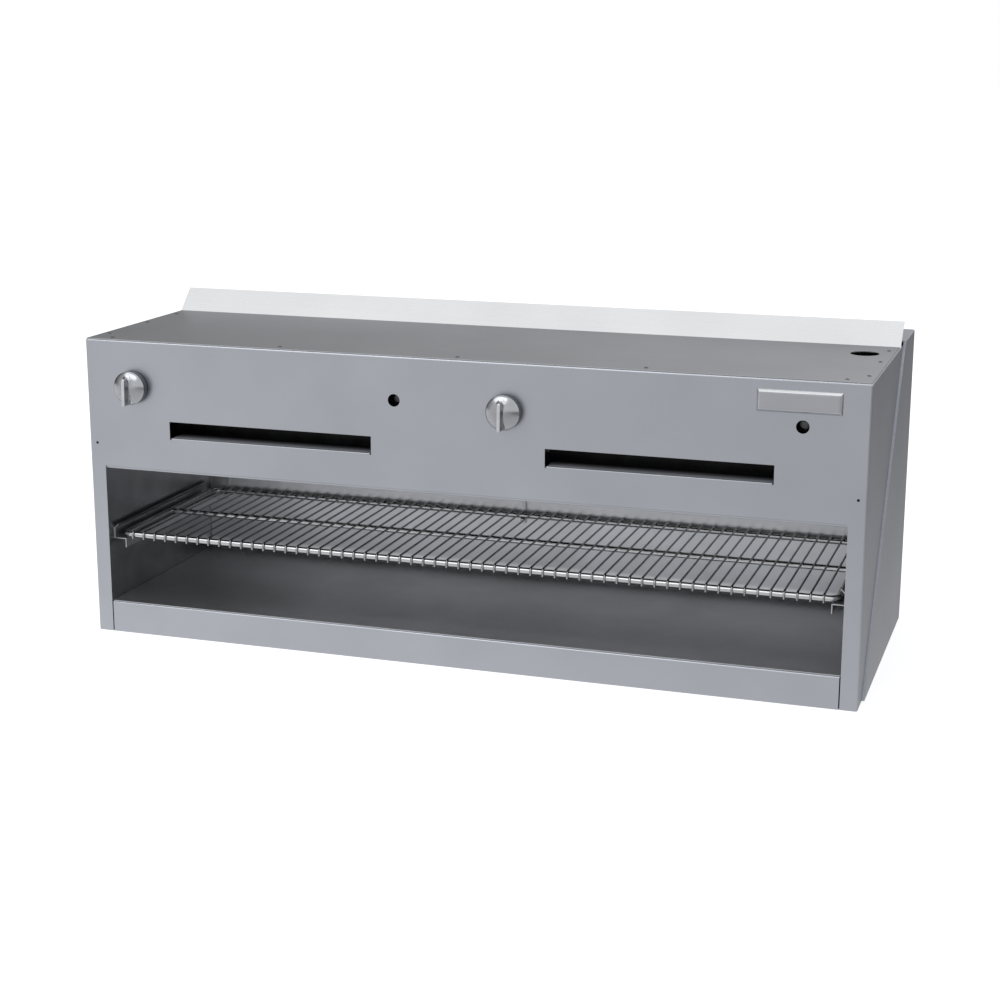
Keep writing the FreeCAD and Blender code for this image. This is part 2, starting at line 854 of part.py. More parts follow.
def name_plate():
    """Blank plate with bevelled edges at the front panel's top right."""
    body = new_body("NamePlate")
    right = "half_width - plate_from_side"
    face = rectangle(right + " - plate_length", right, "plate_bottom", "plate_bottom + plate_height")
    plate = pad(body, outline(body, "NamePlateFace", "XZ", face), "plate_thickness")
    bevel = body.newObject("PartDesign::Chamfer", "NamePlateBevel")
    front = []
    for number, edge in enumerate(plate.Shape.Edges, start=1):
        depths = [vertex.Y for vertex in edge.Vertexes]
        if max(depths) < TINY - value("plate_thickness"):
            front.append("Edge%d" % number)
    bevel.Base = (plate, front)
    bind(bevel, "Size", "plate_bevel")
    doc.recompute()
    return settle(body, "name_plate")


# Cavity


def cavity_wall(name, side):
    """Side wall of the cavity with a front flange, a floor ledge and a top flange."""

    def across(text):
        return "%d * (%s)" % (side, text)

    body = new_body("CavityWall" + name.title())
    plan = [
        (across("opening_half"), "sheet"),
        (across("opening_half + wall_flange"), "sheet"),
        (across("opening_half + wall_flange"), "sheet + liner_sheet"),
        (across("wall_outside"), "sheet + liner_sheet"),
        (across("wall_outside"), "wall_depth"),
        (across("opening_half"), "wall_depth"),
    ]
    sketch = outline(body, body.Name + "Plan", "XY", plan, "wall_foot")
    pad(body, sketch, "cavity_top - wall_foot")
    ledge = rectangle(
        across("opening_half - floor_ledge"), across("wall_outside"), "lip_flange + fit_gap", "wall_depth"
    )
    pad(body, outline(body, body.Name + "Ledge", "XY", ledge, "wall_foot"), "liner_sheet")
    flange = rectangle(across("opening_half"), across("side_inside - fit_gap"), "bend", "wall_depth")
    sketch = outline(body, body.Name + "Flange", "XY", flange, "cavity_top - liner_sheet")
    pad(body, sketch, "liner_sheet")
    return settle(body, "cavity_wall_" + name)


def cavity_floor():
    """Floor and back wall in one bent sheet, with a flange that reaches the casing."""
    body = new_body("CavityFloor")
    behind = "cavity_depth + liner_sheet"
    rear = "unit_depth - casing_sheet - fit_gap"
    profile = [
        ("bend", "lip_height - liner_sheet"),
        (behind, "lip_height - liner_sheet"),
        (behind, "cavity_top - liner_sheet"),
        (rear, "cavity_top - liner_sheet"),
        (rear, "cavity_top"),
        ("cavity_depth", "cavity_top"),
        ("cavity_depth", "lip_height"),
        ("bend", "lip_height"),
    ]
    sketch = outline(body, "CavityFloorProfile", "YZ", profile)
    pad(body, sketch, "2 * (opening_half - floor_gap)", symmetric=True)
    fillet(body, "floor_bend", [("x", "cavity_depth", "lip_height")])
    fillet(body, "floor_bend + liner_sheet", [("x", behind, "lip_height - liner_sheet")])
    return settle(body, "cavity_floor_and_back")


def rack_guide(name, side):
    """Runner on the cavity wall: a web, a ledge with a lip, and a flared top."""

    def inward(text):
        return "%d * (opening_half - (%s))" % (side, text)

    body = new_body("RackGuide" + name.title())
    web_top = "guide_top + guide_web"
    profile = [
        (inward("0"), "guide_top - guide_sheet"),
        (inward("guide_ledge - guide_sheet"), "guide_top - guide_sheet"),
        (inward("guide_ledge - guide_sheet"), "guide_top - guide_lip"),
        (inward("guide_ledge"), "guide_top - guide_lip"),
        (inward("guide_ledge"), "guide_top"),
        (inward("guide_sheet"), "guide_top"),
        (inward("guide_sheet"), web_top),
        (inward("guide_sheet + guide_flare"), web_top + " + guide_flare"),
        (
            inward("guide_sheet + guide_flare - guide_sheet / sqrt(2)"),
            web_top + " + guide_flare + guide_sheet / sqrt(2)",
        ),
        (inward("0"), web_top + " + (sqrt(2) - 1) * guide_sheet"),
    ]
    sketch = outline(body, body.Name + "Profile", "XZ", profile, "-guide_front")
    pad(body, sketch, "cavity_depth - guide_rear_gap - guide_front", reverse=True)
    fillet(body, "guide_sheet", [("y", inward("guide_ledge"), "guide_top")])
    return settle(body, "rack_guide_" + name)


def rear_hooks():
    """Three upright straps on the back wall, each with a foot under the rack's rear rail."""
    straps = []
    places = ("-(opening_half - hook_from_side)", "0", "opening_half - hook_from_side")
    for number, across in enumerate(places, start=1):
        body = new_body("RearHook%d" % number)
        front = "cavity_depth - hook_depth"
        toe = "cavity_depth - hook_reach"
        profile = [
            ("cavity_depth", "guide_top - hook_drop"),
            ("cavity_depth", "hook_top"),
            (front, "hook_top"),
            (front, "guide_top"),
            (toe, "guide_top"),
            (toe, "guide_top - hook_thickness"),
            (front, "guide_top - hook_thickness"),
            (front, "guide_top - hook_drop"),
        ]
        sketch = outline(body, body.Name + "Profile", "YZ", profile, across)
        pad(body, sketch, "hook_width", symmetric=True)
        fillet(body, "hook_thickness / 2", [("x", toe, "guide_top - hook_thickness")])
        straps.append(body)
    group = doc.addObject("Part::Compound", "RearHooks")
    group.Links = straps
    return settle(group, "rear_rack_hooks")


# Rack


def rack_frame():
    """Round-cornered loop of rod with a lighter middle rail across it."""
    front = "front_rail_depth"
    rear = "rear_rail_depth"
    corners = [
        point("-(rack_half)", front, "rack_height"),
        point("rack_half", front, "rack_height"),
        point("rack_half", rear, "rack_height"),
        point("-(rack_half)", rear, "rack_height"),
    ]
    path = rounded_path(corners, value("rack_corner"), closed=True)
    middle = "(front_rail_depth + rear_rail_depth) / 2"
    rail = Part.makeCylinder(
        value("middle_rail_radius"),
        value("2 * rack_half"),
        point("-(rack_half)", middle, "rack_height + rail_radius - middle_rail_radius"),
        FreeCAD.Vector(1, 0, 0),
    )
    loop = rod_along(path, value("rail_radius"))
    return settle(feature_of("RackFrame", loop.fuse(rail)), "rack_frame")


def rack_wires():
    """Equal wires from front to back over the rails, each bent down over the front rail."""
    count = int(value("wire_count"))
    first = "-wire_pitch * %d / 2" % (count - 1)
    turn = "rail_radius + wire_gap + wire_radius"
    corners = [
        point(first, "rear_rail_depth + wire_overhang", "wire_height"),
        point(first, "front_rail_depth - (%s)" % turn, "wire_height"),
        point(first, "front_rail_depth - (%s)" % turn, "rack_height - rail_radius - wire_tip"),
    ]
    wire = rod_along(rounded_path(corners, value(turn)), value("wire_radius"))
    step = point("wire_pitch", 0, 0)
    wires = Part.makeCompound([wire.translated(step * index) for index in range(count)])
    return settle(feature_of("RackWires", wires), "rack_wires")


# Knobs and valves, each drawn about its own axis


def knob(name, section):
    """Domed knob with a straight grip across its face."""
    body = new_body("Knob" + name.title())
    sketch = attach(body, body.Name + "Profile", "YZ", "0")
    corners = [
        ("-knob_gap", "0"),
        ("-knob_gap", "knob_radius"),
        ("-knob_skirt", "knob_radius"),
        ("-knob_crown", "0"),
    ]
    places = [FreeCAD.Vector(value(y), value(z), 0) for y, z in corners]
    for start, end in ((0, 1), (1, 2), (3, 0)):
        sketch.addGeometry(Part.LineSegment(places[start], places[end]), False)
    radius = value("dome_radius")
    centre = FreeCAD.Vector(radius - value("knob_crown"), 0, 0)
    lean = (places[2] - centre).getAngle(FreeCAD.Vector(1, 0, 0))
    dome = Part.ArcOfCircle(Part.Circle(centre, FreeCAD.Vector(0, 0, 1), radius), lean, math.pi)
    sketch.addGeometry(dome, False)
    joints = ((0, 2, 1, 1), (1, 2, 3, 1), (3, 2, 2, 1), (2, 2, 0, 1))
    for constraint in joints:
        sketch.addConstraint(Sketcher.Constraint("Coincident", *constraint))
    for item, vertex, corner in ((0, 1, 0), (1, 1, 1), (1, 2, 2), (2, 1, 3)):
        locate(sketch, item, vertex, *corners[corner])
    sketch.addConstraint(Sketcher.Constraint("PointOnObject", 3, 3, -1))
    turned_body = body.newObject("PartDesign::Revolution", body.Name + "Turned")
    turned_body.Profile = sketch
    turned_body.ReferenceAxis = (sketch, ["H_Axis"])
    doc.recompute()
    round_rim(body)
    grip = [
        ("-grip_base / 2", "knob_edge - knob_skirt"),
        ("-grip_front / 2", "-knob_projection"),
        ("grip_front / 2", "-knob_projection"),
        ("grip_base / 2", "knob_edge - knob_skirt"),
    ]
    sketch = outline(body, body.Name + "Grip", "XY", grip, "-grip_below")
    pad(body, sketch, "grip_above + grip_below")
    fillet(body, "grip_round", [("x", "-knob_projection", "grip_above")])
    bore = rounds(body, body.Name + "Bore", "XZ", [("0", "0", STEM_BORE)])
    pocket(body, bore, "stem_in_knob", reverse=True)
    return settle(body, "knob_" + name, knob_line(section), "0", "knob_height")


STEM_BORE = "stem_radius + stem_clearance"


def round_rim(body):
    """Round the rim where the knob's skirt meets its dome."""
    tip = body.Tip
    rim = []
    for number, edge in enumerate(tip.Shape.Edges, start=1):
        box = edge.BoundBox
        if box.YLength < TINY and abs(box.YMin + value("knob_skirt")) < TINY:
            rim.append("Edge%d" % number)
    feature = body.newObject("PartDesign::Fillet", body.Name + "Rim")
    feature.Base = (tip, rim)
    bind(feature, "Radius", "knob_edge")
    doc.recompute()


def valve_stem(name, section):
    """Spindle with a flat, held in the knob and turning in the valve."""
    label = "valve_stem_" + name
    key = "Stem" + name.title()
    rod = cylinder(key + "Rod", "+Y", "stem_radius", "stem_in_knob + valve_front + stem_in_valve", "0",
                   "-stem_in_knob")
    flat = block(key + "Flat", "-stem_radius", "-stem_in_knob", "stem_radius - stem_flat",
                 "2 * stem_radius", "stem_in_knob - knob_gap", "stem_radius")
    return settle(cut(key, rod, flat), label, knob_line(section), "0", "knob_height")


def gas_valve(name, section):
    """Valve body on the manifold's boss, bored for the spindle."""
    key = "Valve" + name.title()
    shank = "boss_top - knob_height"
    solids = [
        cylinder(key + "Bonnet", "+Y", "bonnet_radius", "bonnet_length", "0", "valve_front"),
        cylinder(key + "Barrel", "+Y", "valve_radius", "valve_length", "0",
                 "valve_front + bonnet_length"),
        cylinder(key + "Tail", "+Y", "tail_radius", "tail_length", "0", "valve_back"),
        cylinder(key + "Shank", "+Z", "shank_radius", "-(%s)" % shank, "0", "manifold_depth", shank),
    ]
    bore = cylinder(key + "Bore", "+Y", STEM_BORE, "stem_in_valve + overrun + fit_gap", "0",
                    "valve_front - overrun")
    valve = cut(key, fuse(key + "Solid", solids), bore)
    return settle(valve, "gas_valve_" + name, knob_line(section), "0", "knob_height")


def orifice_hood(name, section):
    """Brass hood that meters the gas into the mixing tube."""
    key = "Hood" + name.title()
    start = "valve_back + tail_length"
    solids = [
        cylinder(key + "Body", "+Y", "hood_radius", "hood_length", "0", start),
        cone(key + "Tip", "+Y", "hood_radius", "hood_tip_radius", "hood_cone", "0",
             start + " + hood_length"),
    ]
    jet = cylinder(key + "Jet", "+Y", "jet_radius", "hood_length + hood_cone + 2 * overrun", "0",
                   start + " - overrun")
    hood = cut(key, fuse(key + "Solid", solids), jet)
    return settle(hood, "orifice_hood_" + name, knob_line(section), "0", "knob_height")


def manifold():
    """Supply pipe along the front with a boss under each valve, bent up to the gas inlet."""
    path = rounded_path(
        [
            point("-(manifold_end)", "manifold_depth", "manifold_height"),
            point("gas_side", "manifold_depth", "manifold_height"),
            point("gas_side", "gas_from_front", "manifold_height"),
            point("gas_side", "gas_from_front", "pipe_top"),
        ],
        value("manifold_bend"),
    )
    pipe = rod_along(path, value("manifold_radius"))
    for name, side in SECTIONS:
        section = "%d * section_pitch / 2" % side
        for across in (knob_line(section), pilot_line(section)):
            boss = Part.makeCylinder(
                value("boss_radius"),
                value("boss_top - manifold_height"),
                point(across, "manifold_depth", "manifold_height"),
            )
            pipe = pipe.fuse(boss)
    pipe = pipe.cut(rod_along(path, value("manifold_radius - manifold_wall")))
    return settle(feature_of("Manifold", pipe), "gas_manifold")


def manifold_cap():
    """Screwed cap on the manifold's left end."""
    end = "-(manifold_end)"
    shell = cylinder("CapShell", "+X", "cap_radius", "cap_length", end + " - cap_wall",
                     "manifold_depth", "manifold_height")
    hollow = cylinder("CapHollow", "+X", "manifold_radius + thread_gap", "cap_length", end,
                      "manifold_depth", "manifold_height")
    return settle(cut("ManifoldCap", shell, hollow), "manifold_cap")


def gas_coupling():
    """Threaded coupling under the cover's gas hole, where the supply is screwed in."""
    lap = "pipe_top - coupling_lap"
    shell = cylinder("CouplingShell", "+Z", "coupling_radius", "inlet_top - (%s)" % lap, "gas_side",
                     "gas_from_front", lap)
    socket = cylinder("CouplingSocket", "+Z", "manifold_radius + thread_gap", "coupling_lap",
                      "gas_side", "gas_from_front", lap)
    thread = cylinder("CouplingThread", "+Z", "inlet_thread_radius",
                      "inlet_thread_length + overrun", "gas_side", "gas_from_front", "pipe_top")
    tools = fuse("CouplingTools", [socket, thread])
    return settle(cut("GasCoupling", shell, tools), "gas_inlet_coupling")


def manifold_saddles():
    """Blocks that carry the manifold on the front panel."""
    saddles = []
    places = ("-(half_width - saddle_from_end)", "0", "half_width - saddle_from_end")
    for number, across in enumerate(places, start=1):
        key = "Saddle%d" % number
        body = block(key + "Block", "%s - saddle_width / 2" % across, "sheet",
                     "manifold_height - saddle_height / 2", "saddle_width", "saddle_depth",
                     "saddle_height")
        notch = cylinder(key + "Notch", "+X", "manifold_radius + saddle_clearance",
                         "saddle_width + 2 * overrun", across + " - saddle_width / 2 - overrun",
                         "manifold_depth", "manifold_height")
        saddles.append(cut(key, body, notch))
    group = doc.addObject("Part::Compound", "Saddles")
    group.Links = saddles
    return settle(group, "manifold_saddles")


# Pilots


def pilot_valve(name, section):
    """Small valve behind the pilot hole, bored for its adjusting screw."""
    key = "PilotValve" + name.title()
    shank = "boss_top - pilot_height"
    solids = [
        cylinder(key + "Barrel", "+Y", "pilot_valve_radius", "pilot_valve_length", "0",
                 "pilot_valve_front"),
        cylinder(key + "Shank", "+Z", "pilot_shank_radius", "-(%s)" % shank, "0", "manifold_depth",
                 shank),
    ]
    bore = cylinder(key + "Bore", "+Y", "pilot_screw_radius + stem_clearance",
                    "pilot_screw_depth + overrun + fit_gap", "0", "pilot_valve_front - overrun")
    valve = cut(key, fuse(key + "Solid", solids), bore)
    return settle(valve, "pilot_valve_" + name, pilot_line(section), "0", "pilot_height")


def pilot_screw(name, section):
    """Adjusting screw with a slotted head."""
    key = "PilotScrew" + name.title()
    head_back = "pilot_valve_front - pilot_head_gap"
    head_front = head_back + " - pilot_head_length"
    solids = [
        cylinder(key + "Shank", "+Y", "pilot_screw_radius",
                 "pilot_screw_depth + pilot_head_gap", "0", head_back),
        cylinder(key + "Head", "+Y", "pilot_head_radius", "pilot_head_length", "0", head_front),
    ]
    slot = block(key + "Slot", "-pilot_head_radius", head_front + " - overrun", "-screw_slot / 2",
                 "2 * pilot_head_radius", "overrun + screw_slot", "screw_slot")
    screw = cut(key, fuse(key + "Solid", solids), slot)
    return settle(screw, "pilot_screw_" + name, pilot_line(section), "0", "pilot_height")


def pilot_tube(name, section):
    """Thin tube from the pilot valve down to the pilot burner."""
    across = pilot_line(section)
    middle = "(pilot_back + pilot_burner_depth) / 2"
    low = "rail_top + pilot_inlet_rise"
    path = rounded_path(
        [
            point(across, "pilot_back", "pilot_height"),
            point(across, middle, "pilot_height"),
            point(across, middle, low),
            point(across, "pilot_burner_depth", low),
        ],
        value("pilot_tube_bend"),
    )
    tube = tube_along(path, value("pilot_tube_radius"), value("pilot_tube_wall"))
    return settle(feature_of("PilotTube" + name.title(), tube), "pilot_tube_" + name)


def pilot_burner(name, section):
    """Pilot head on the front burner rail, hooded towards the tiles."""
    key = "PilotBurner" + name.title()
    across = pilot_line(section) + " - pilot_burner_size / 2"
    body = block(key + "Body", across, "pilot_burner_depth", "rail_top", "pilot_burner_size",
                 "pilot_burner_size", "pilot_burner_size")
    hood = block(key + "Hood", across, "pilot_burner_depth + pilot_burner_size / 2",
                 "rail_top + pilot_burner_size", "pilot_burner_size",
                 "pilot_burner_size / 2 + pilot_hood_reach", "pilot_hood_sheet")
    return settle(fuse(key, [body, hood]), "pilot_burner_" + name)


# Burners


def burner_rail(name, start):
    """Flat bar across the cabinet on the wall flanges, under the burners' flanges."""
    half = "(side_inside - fit_gap)"
    bar = block("BurnerRail" + name.title(), "0", "0", "0", "2 * " + half, "rail_width", "rail_thickness")
    return settle(bar, "burner_rail_" + name, "-" + half, start, "cavity_top")


def burner_box(name, section):
    """Gas chamber open below for the tiles, hung by its flanges, with a side inlet."""
    body = new_body("BurnerBox" + name.title())
    key = body.Name
    half_length = "burner_length / 2"
    half_width = "burner_width / 2"
    shell = rectangle("-" + half_length, half_length, "-" + half_width, half_width)
    pad(body, outline(body, key + "Shell", "XY", shell, "-rail_thickness"),
        "burner_height + rail_thickness")
    rim = rectangle("-" + half_length, half_length, "-(%s + burner_flange)" % half_width,
                    half_width + " + burner_flange")
    pad(body, outline(body, key + "Rim", "XY", rim), "burner_wall")
    inner_length = "burner_length / 2 - burner_wall"
    inner_width = "burner_width / 2 - burner_wall"
    room = rectangle("-(%s)" % inner_length, inner_length, "-(%s)" % inner_width, inner_width)
    sketch = outline(body, key + "Room", "XY", room, "-rail_thickness")
    pocket(body, sketch, "burner_height + rail_thickness - burner_wall", reverse=True)
    inlet = rounds(body, key + "Inlet", "YZ",
                   [("0", "burner_height / 2", "venturi_radius - venturi_wall")],
                   "-burner_length / 2")
    pocket(body, inlet, "burner_wall + overrun", reverse=True)
    return settle(body, "burner_box_" + name, section, "burner_depth", "rail_top")


def burner_tiles(name, section):
    """Ceramic tiles side by side in the mouth of the burner box."""
    room = "(burner_length - 2 * burner_wall)"
    pitch = room + " / %d" % TILE_COUNT
    tiles = []
    for index in range(TILE_COUNT):
        start = "-%s / 2 + %s * %d + tile_gap" % (room, pitch, index)
        tiles.append(
            block("Tile%s%d" % (name.title(), index), start, "-burner_width / 2 + burner_wall + tile_gap",
                  "-rail_thickness", pitch + " - 2 * tile_gap",
                  "burner_width - 2 * burner_wall - 2 * tile_gap", "tile_thickness")
        )
    group = doc.addObject("Part::Compound", "Tiles" + name.title())
    group.Links = tiles
    return settle(group, "ceramic_tiles_" + name, section, "burner_depth", "rail_top")


def burner_screen(name, section):
    """Guard screen under the tiles, hung from the rails by its flanges."""
    body = new_body("Screen" + name.title())
    key = body.Name
    seat = "-rail_thickness"
    outer = "(burner_width / 2 + burner_flange)"
    inner = "(screen_inside + screen_sheet)"
    floor = seat + " - screen_drop"
    profile = [
        ("-" + outer, seat),
        ("-screen_inside", seat),
        ("-screen_inside", floor),
        ("screen_inside", floor),
        ("screen_inside", seat),
        (outer, seat),
        (outer, seat + " - screen_sheet"),
        (inner, seat + " - screen_sheet"),
        (inner, floor + " - screen_sheet"),
        ("-" + inner, floor + " - screen_sheet"),
        ("-" + inner, seat + " - screen_sheet"),
        ("-" + outer, seat + " - screen_sheet"),
    ]
    pad(body, outline(body, key + "Profile", "YZ", profile), "burner_length", symmetric=True)
    left = "-burner_length / 2 + screen_margin"
    near = "-screen_inside + screen_margin"
    cell = rectangle(left, left + " + screen_cell_x", near, near + " + screen_cell_y")
    sketch = outline(body, key + "Cell", "XY", cell, floor)
    hole = pocket(body, sketch, "screen_sheet + overrun")
    grid = body.newObject("PartDesign::MultiTransform", key + "Grid")
    grid.Originals = [hole]
    rows = []
    steps = (
        ("H_Axis", "screen_cell_x + screen_bar", SCREEN_COLUMNS),
        ("V_Axis", "screen_cell_y + screen_bar", SCREEN_ROWS),
    )
    for axis, pitch, count in steps:
        row = body.newObject("PartDesign::LinearPattern", key + axis[0])
        row.Direction = (sketch, [axis])
        row.Mode = "Spacing"
        bind(row, "Offset", pitch)
        row.Occurrences = count
        rows.append(row)
    grid.Transformations = rows
    body.Tip = grid
    doc.recompute()
    return settle(body, "burner_screen_" + name, section, "burner_depth", "rail_top")


def mixing_tube(name, section):
    """Venturi from behind the valve, down and into the end of the burner box."""
    across = knob_line(section)
    path = rounded_path(
        [
            point(across, "valve_back + tail_length + hood_length", "knob_height"),
            point(across, "burner_depth", "knob_height"),
            point(across, "burner_depth", "burner_inlet_height"),
            point(section + " - burner_length / 2", "burner_depth", "burner_inlet_height"),
        ],
        value("venturi_radius + venturi_bend_inside"),
    )
    tube = tube_along(path, value("venturi_radius"), value("venturi_wall"))
    return settle(feature_of("MixingTube" + name.title(), tube), "mixing_tube_" + name)


def heat_shield():
    """Hood over the burners, standing on the rails, open at the back for the flue gas."""
    body = new_body("HeatShield")
    section = [
        ("-(shield_left)", "rail_top"),
        ("-(shield_left)", "shield_top"),
        ("shield_right", "shield_top"),
        ("shield_right", "rail_top"),
        ("shield_right - sheet", "rail_top"),
        ("shield_right - sheet", "shield_top - sheet"),
        ("sheet - shield_left", "shield_top - sheet"),
        ("sheet - shield_left", "rail_top"),
    ]
    sketch = outline(body, "HeatShieldSection", "XZ", section, "-shield_front")
    pad(body, sketch, "shield_back - shield_front", reverse=True)
    apron = rectangle("-(shield_left)", "shield_right", "shield_top - shield_apron", "shield_top")
    sketch = outline(body, "HeatShieldApron", "XZ", apron, "-shield_front")
    pad(body, sketch, "sheet", reverse=True)
    circles = []
    for name, side in SECTIONS:
        across = knob_line("%d * section_pitch / 2" % side)
        circles.append((across, "knob_height", "venturi_radius + venturi_clearance"))
    pocket(body, rounds(body, "HeatShieldHoles", "XZ", circles))
    return settle(body, "heat_shield")


def flue_baffle():
    """Upright sheet on the heat shield's back edge, between the controls' space and the flue."""
    body = new_body("FlueBaffle")
    section = [
        ("shield_back - baffle_foot", "shield_top"),
        ("shield_back", "shield_top"),
        ("shield_back", "baffle_top"),
        ("shield_back - sheet", "baffle_top"),
        ("shield_back - sheet", "shield_top + sheet"),
        ("shield_back - baffle_foot", "shield_top + sheet"),
    ]
    sketch = outline(body, "FlueBaffleSection", "YZ", section)
    pad(body, sketch, "2 * (side_inside - fit_gap)", symmetric=True)
    return settle(body, "flue_baffle")


# Screws


def screw_solid(key, axis, head_radius, x, y, z):
    """One screw at x, y, z with its head on the sheet's outer face and its shank through it."""
    if axis == "+Y":
        head_place = (x, y + " - screw_head_height", z)
        shank_place = (x, y, z)
        recess_place = head_place
    else:
        head_place = (x, y, z)
        shank_place = (x, y, z + " - screw_length")
        recess_place = (x, y, z + " + screw_head_height - screw_recess")
    head = cylinder(key + "Head", axis, head_radius, "screw_head_height", *head_place)
    shank = cylinder(key + "Shank", axis, "screw_shank_radius", "screw_length", *shank_place)
    recess = cylinder(key + "Recess", axis, "screw_shank_radius", "screw_recess", *recess_place)
    return cut(key, fuse(key + "Solid", [head, shank]), recess)


def panel_screws():
    """Screws through the cover."""
    circles = front_screw_circles() + side_screw_circles(-1) + side_screw_circles(1)
    screws = []
    for number, (x, y, radius) in enumerate(circles):
        key = "CoverScrew%d" % number
        screws.append(screw_solid(key, "+Z", "screw_head_radius", x, y, "body_height"))
    group = doc.addObject("Part::Compound", "PanelScrews")
    group.Links = screws
    return settle(group, "panel_screws")


def stile_screws():
    """Smaller screws, one through each stile and its splice plate."""
    screws = []
    for name, side in SECTIONS:
        key = "StileScrew" + name.title()
        across = "%d * (half_width - cover_screw_from_side)" % side
        screws.append(
            screw_solid(key, "+Y", "stile_head_radius", across, "0", "stile_screw_height")
        )
    group = doc.addObject("Part::Compound", "StileScrews")
    group.Links = screws
    return settle(group, "stile_screws")


def build_all():
    for name, side in SECTIONS:
        side_panel(name, side)
        splice_plate(name, side)
        cavity_wall(name, side)
        rack_guide(name, side)
    front_panel()
    lower_front_rail()
    base_pan()
    top_cover()
    flue_riser()
    rear_casing()
    name_plate()
    cavity_floor()
    rear_hooks()
    rack_frame()
    rack_wires()
    manifold()
    manifold_cap()
    gas_coupling()
    manifold_saddles()
    burner_rail("front", "rail_front_depth")
    burner_rail("rear", "burner_depth + rail_half_spread")
    heat_shield()
    flue_baffle()
    for name, side in SECTIONS:
        section = "%d * section_pitch / 2" % side
        for piece in (
            knob, valve_stem, gas_valve, orifice_hood, pilot_valve, pilot_screw, pilot_tube,
            pilot_burner, burner_box, burner_tiles, burner_screen, mixing_tube,
        ):
            piece(name, section)
    panel_screws()
    stile_screws()
    doc.recompute()


def write_parts():
    """Check every object, then write one file for each finished sub-part."""
    for thing in doc.Objects:
        if "Invalid" in thing.State or "Error" in thing.State:
            raise ValueError("%s did not build: %s" % (thing.Name, thing.State))
    os.makedirs("parts", exist_ok=True)
    for thing in FINISHED:
        shape = thing.Shape
        if shape.isNull() or not shape.isValid():
            raise ValueError("%s has no valid shape" % thing.Label)
    for thing in FINISHED:
        thing.Shape.exportStep("parts/%s.step" % thing.Label)


build_all()
write_parts()
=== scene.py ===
import math
import bpy
import numpy as np
from mathutils import Matrix, Vector


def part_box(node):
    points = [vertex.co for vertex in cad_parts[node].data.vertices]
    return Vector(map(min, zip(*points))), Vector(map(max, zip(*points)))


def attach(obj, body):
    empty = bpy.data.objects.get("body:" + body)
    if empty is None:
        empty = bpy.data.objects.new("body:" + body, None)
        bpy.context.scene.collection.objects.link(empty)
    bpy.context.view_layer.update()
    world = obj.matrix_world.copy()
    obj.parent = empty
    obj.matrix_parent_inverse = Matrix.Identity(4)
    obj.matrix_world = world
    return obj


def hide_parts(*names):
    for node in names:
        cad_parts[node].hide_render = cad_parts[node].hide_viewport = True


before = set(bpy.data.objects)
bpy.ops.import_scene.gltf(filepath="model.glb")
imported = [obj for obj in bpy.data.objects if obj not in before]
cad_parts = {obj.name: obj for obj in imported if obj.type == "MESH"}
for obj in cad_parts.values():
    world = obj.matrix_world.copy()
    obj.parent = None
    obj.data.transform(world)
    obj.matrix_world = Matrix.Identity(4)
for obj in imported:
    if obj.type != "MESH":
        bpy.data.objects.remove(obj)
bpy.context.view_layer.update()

MM = 0.001


# Meshes


def piece(name, points, faces, material, body, replaced=(), sharp=math.radians(40)):
    """Puts points and faces into a mesh that rides on a body, smooth but for edges sharper than sharp."""
    mesh = bpy.data.meshes.new(name)
    mesh.from_pydata(np.asarray(points, float).tolist(), [], [list(map(int, face)) for face in faces])
    mesh.shade_smooth()
    mesh.set_sharp_from_angle(angle=sharp)
    mesh.materials.append(material)
    made = bpy.data.objects.new(name, mesh)
    bpy.context.scene.collection.objects.link(made)
    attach(made, body)
    if replaced:
        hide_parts(*replaced)
    return made


def recoat(made, material, chosen):
    """Gives the chosen faces of a piece another material; chosen is true or false for each face."""
    coats = np.zeros(len(made.data.polygons), np.int32)
    made.data.polygons.foreach_get("material_index", coats)
    coats[chosen] = len(made.data.materials)
    made.data.materials.append(material)
    made.data.polygons.foreach_set("material_index", coats)


def grid_faces(rows, columns, closed=False):
    """Four-sided faces between neighbouring points of a rows by columns grid, joined round if closed."""
    row = np.arange(rows - 1)[:, None]
    column = np.arange(columns if closed else columns - 1)[None, :]
    following = (column + 1) % columns
    low = row * columns
    high = low + columns
    return np.stack([low + column, low + following, high + following, high + column], -1).reshape(-1, 4)


def lathe(radii, depths, sides, axis):
    """A profile turned about a line along Y: the point at angle a is axis + (r cos a, -depth, r sin a).
    The profile starts and ends on the axis, where each pole is one point."""
    angle = np.linspace(0, 2 * math.pi, sides, endpoint=False)
    ring = np.stack([np.cos(angle), np.zeros(sides), np.sin(angle)], -1)
    inner = np.asarray(radii[1:-1])[:, None, None] * ring
    inner[..., 1] = -np.asarray(depths[1:-1])[:, None]
    poles = np.array([[0, -depths[0], 0], [0, -depths[-1], 0]])
    points = np.concatenate([inner.reshape(-1, 3), poles]) + np.asarray(axis)
    rows = len(radii) - 2
    around = np.arange(sides)
    following = (around + 1) % sides
    first = np.stack([np.full(sides, rows * sides), following, around], -1)
    last = (rows - 1) * sides
    final = np.stack([np.full(sides, rows * sides + 1), last + around, last + following], -1)
    return points, [*grid_faces(rows, sides, True), *first, *final]


def repeated(points, faces, offsets):
    """One mesh of the same shape at each offset."""
    offsets = np.asarray(offsets, float)
    count = len(points)
    placed = (np.asarray(points)[None] + offsets[:, None]).reshape(-1, 3)
    copies = [np.asarray(face) + count * index for index in range(len(offsets)) for face in faces]
    return placed, copies


def joined(*parts):
    """Several meshes as one, each a pair of points and faces."""
    start = 0
    points, faces = [], []
    for own_points, own_faces in parts:
        points.append(own_points)
        faces.extend(np.asarray(face) + start for face in own_faces)
        start += len(own_points)
    return np.concatenate(points), faces


# Materials


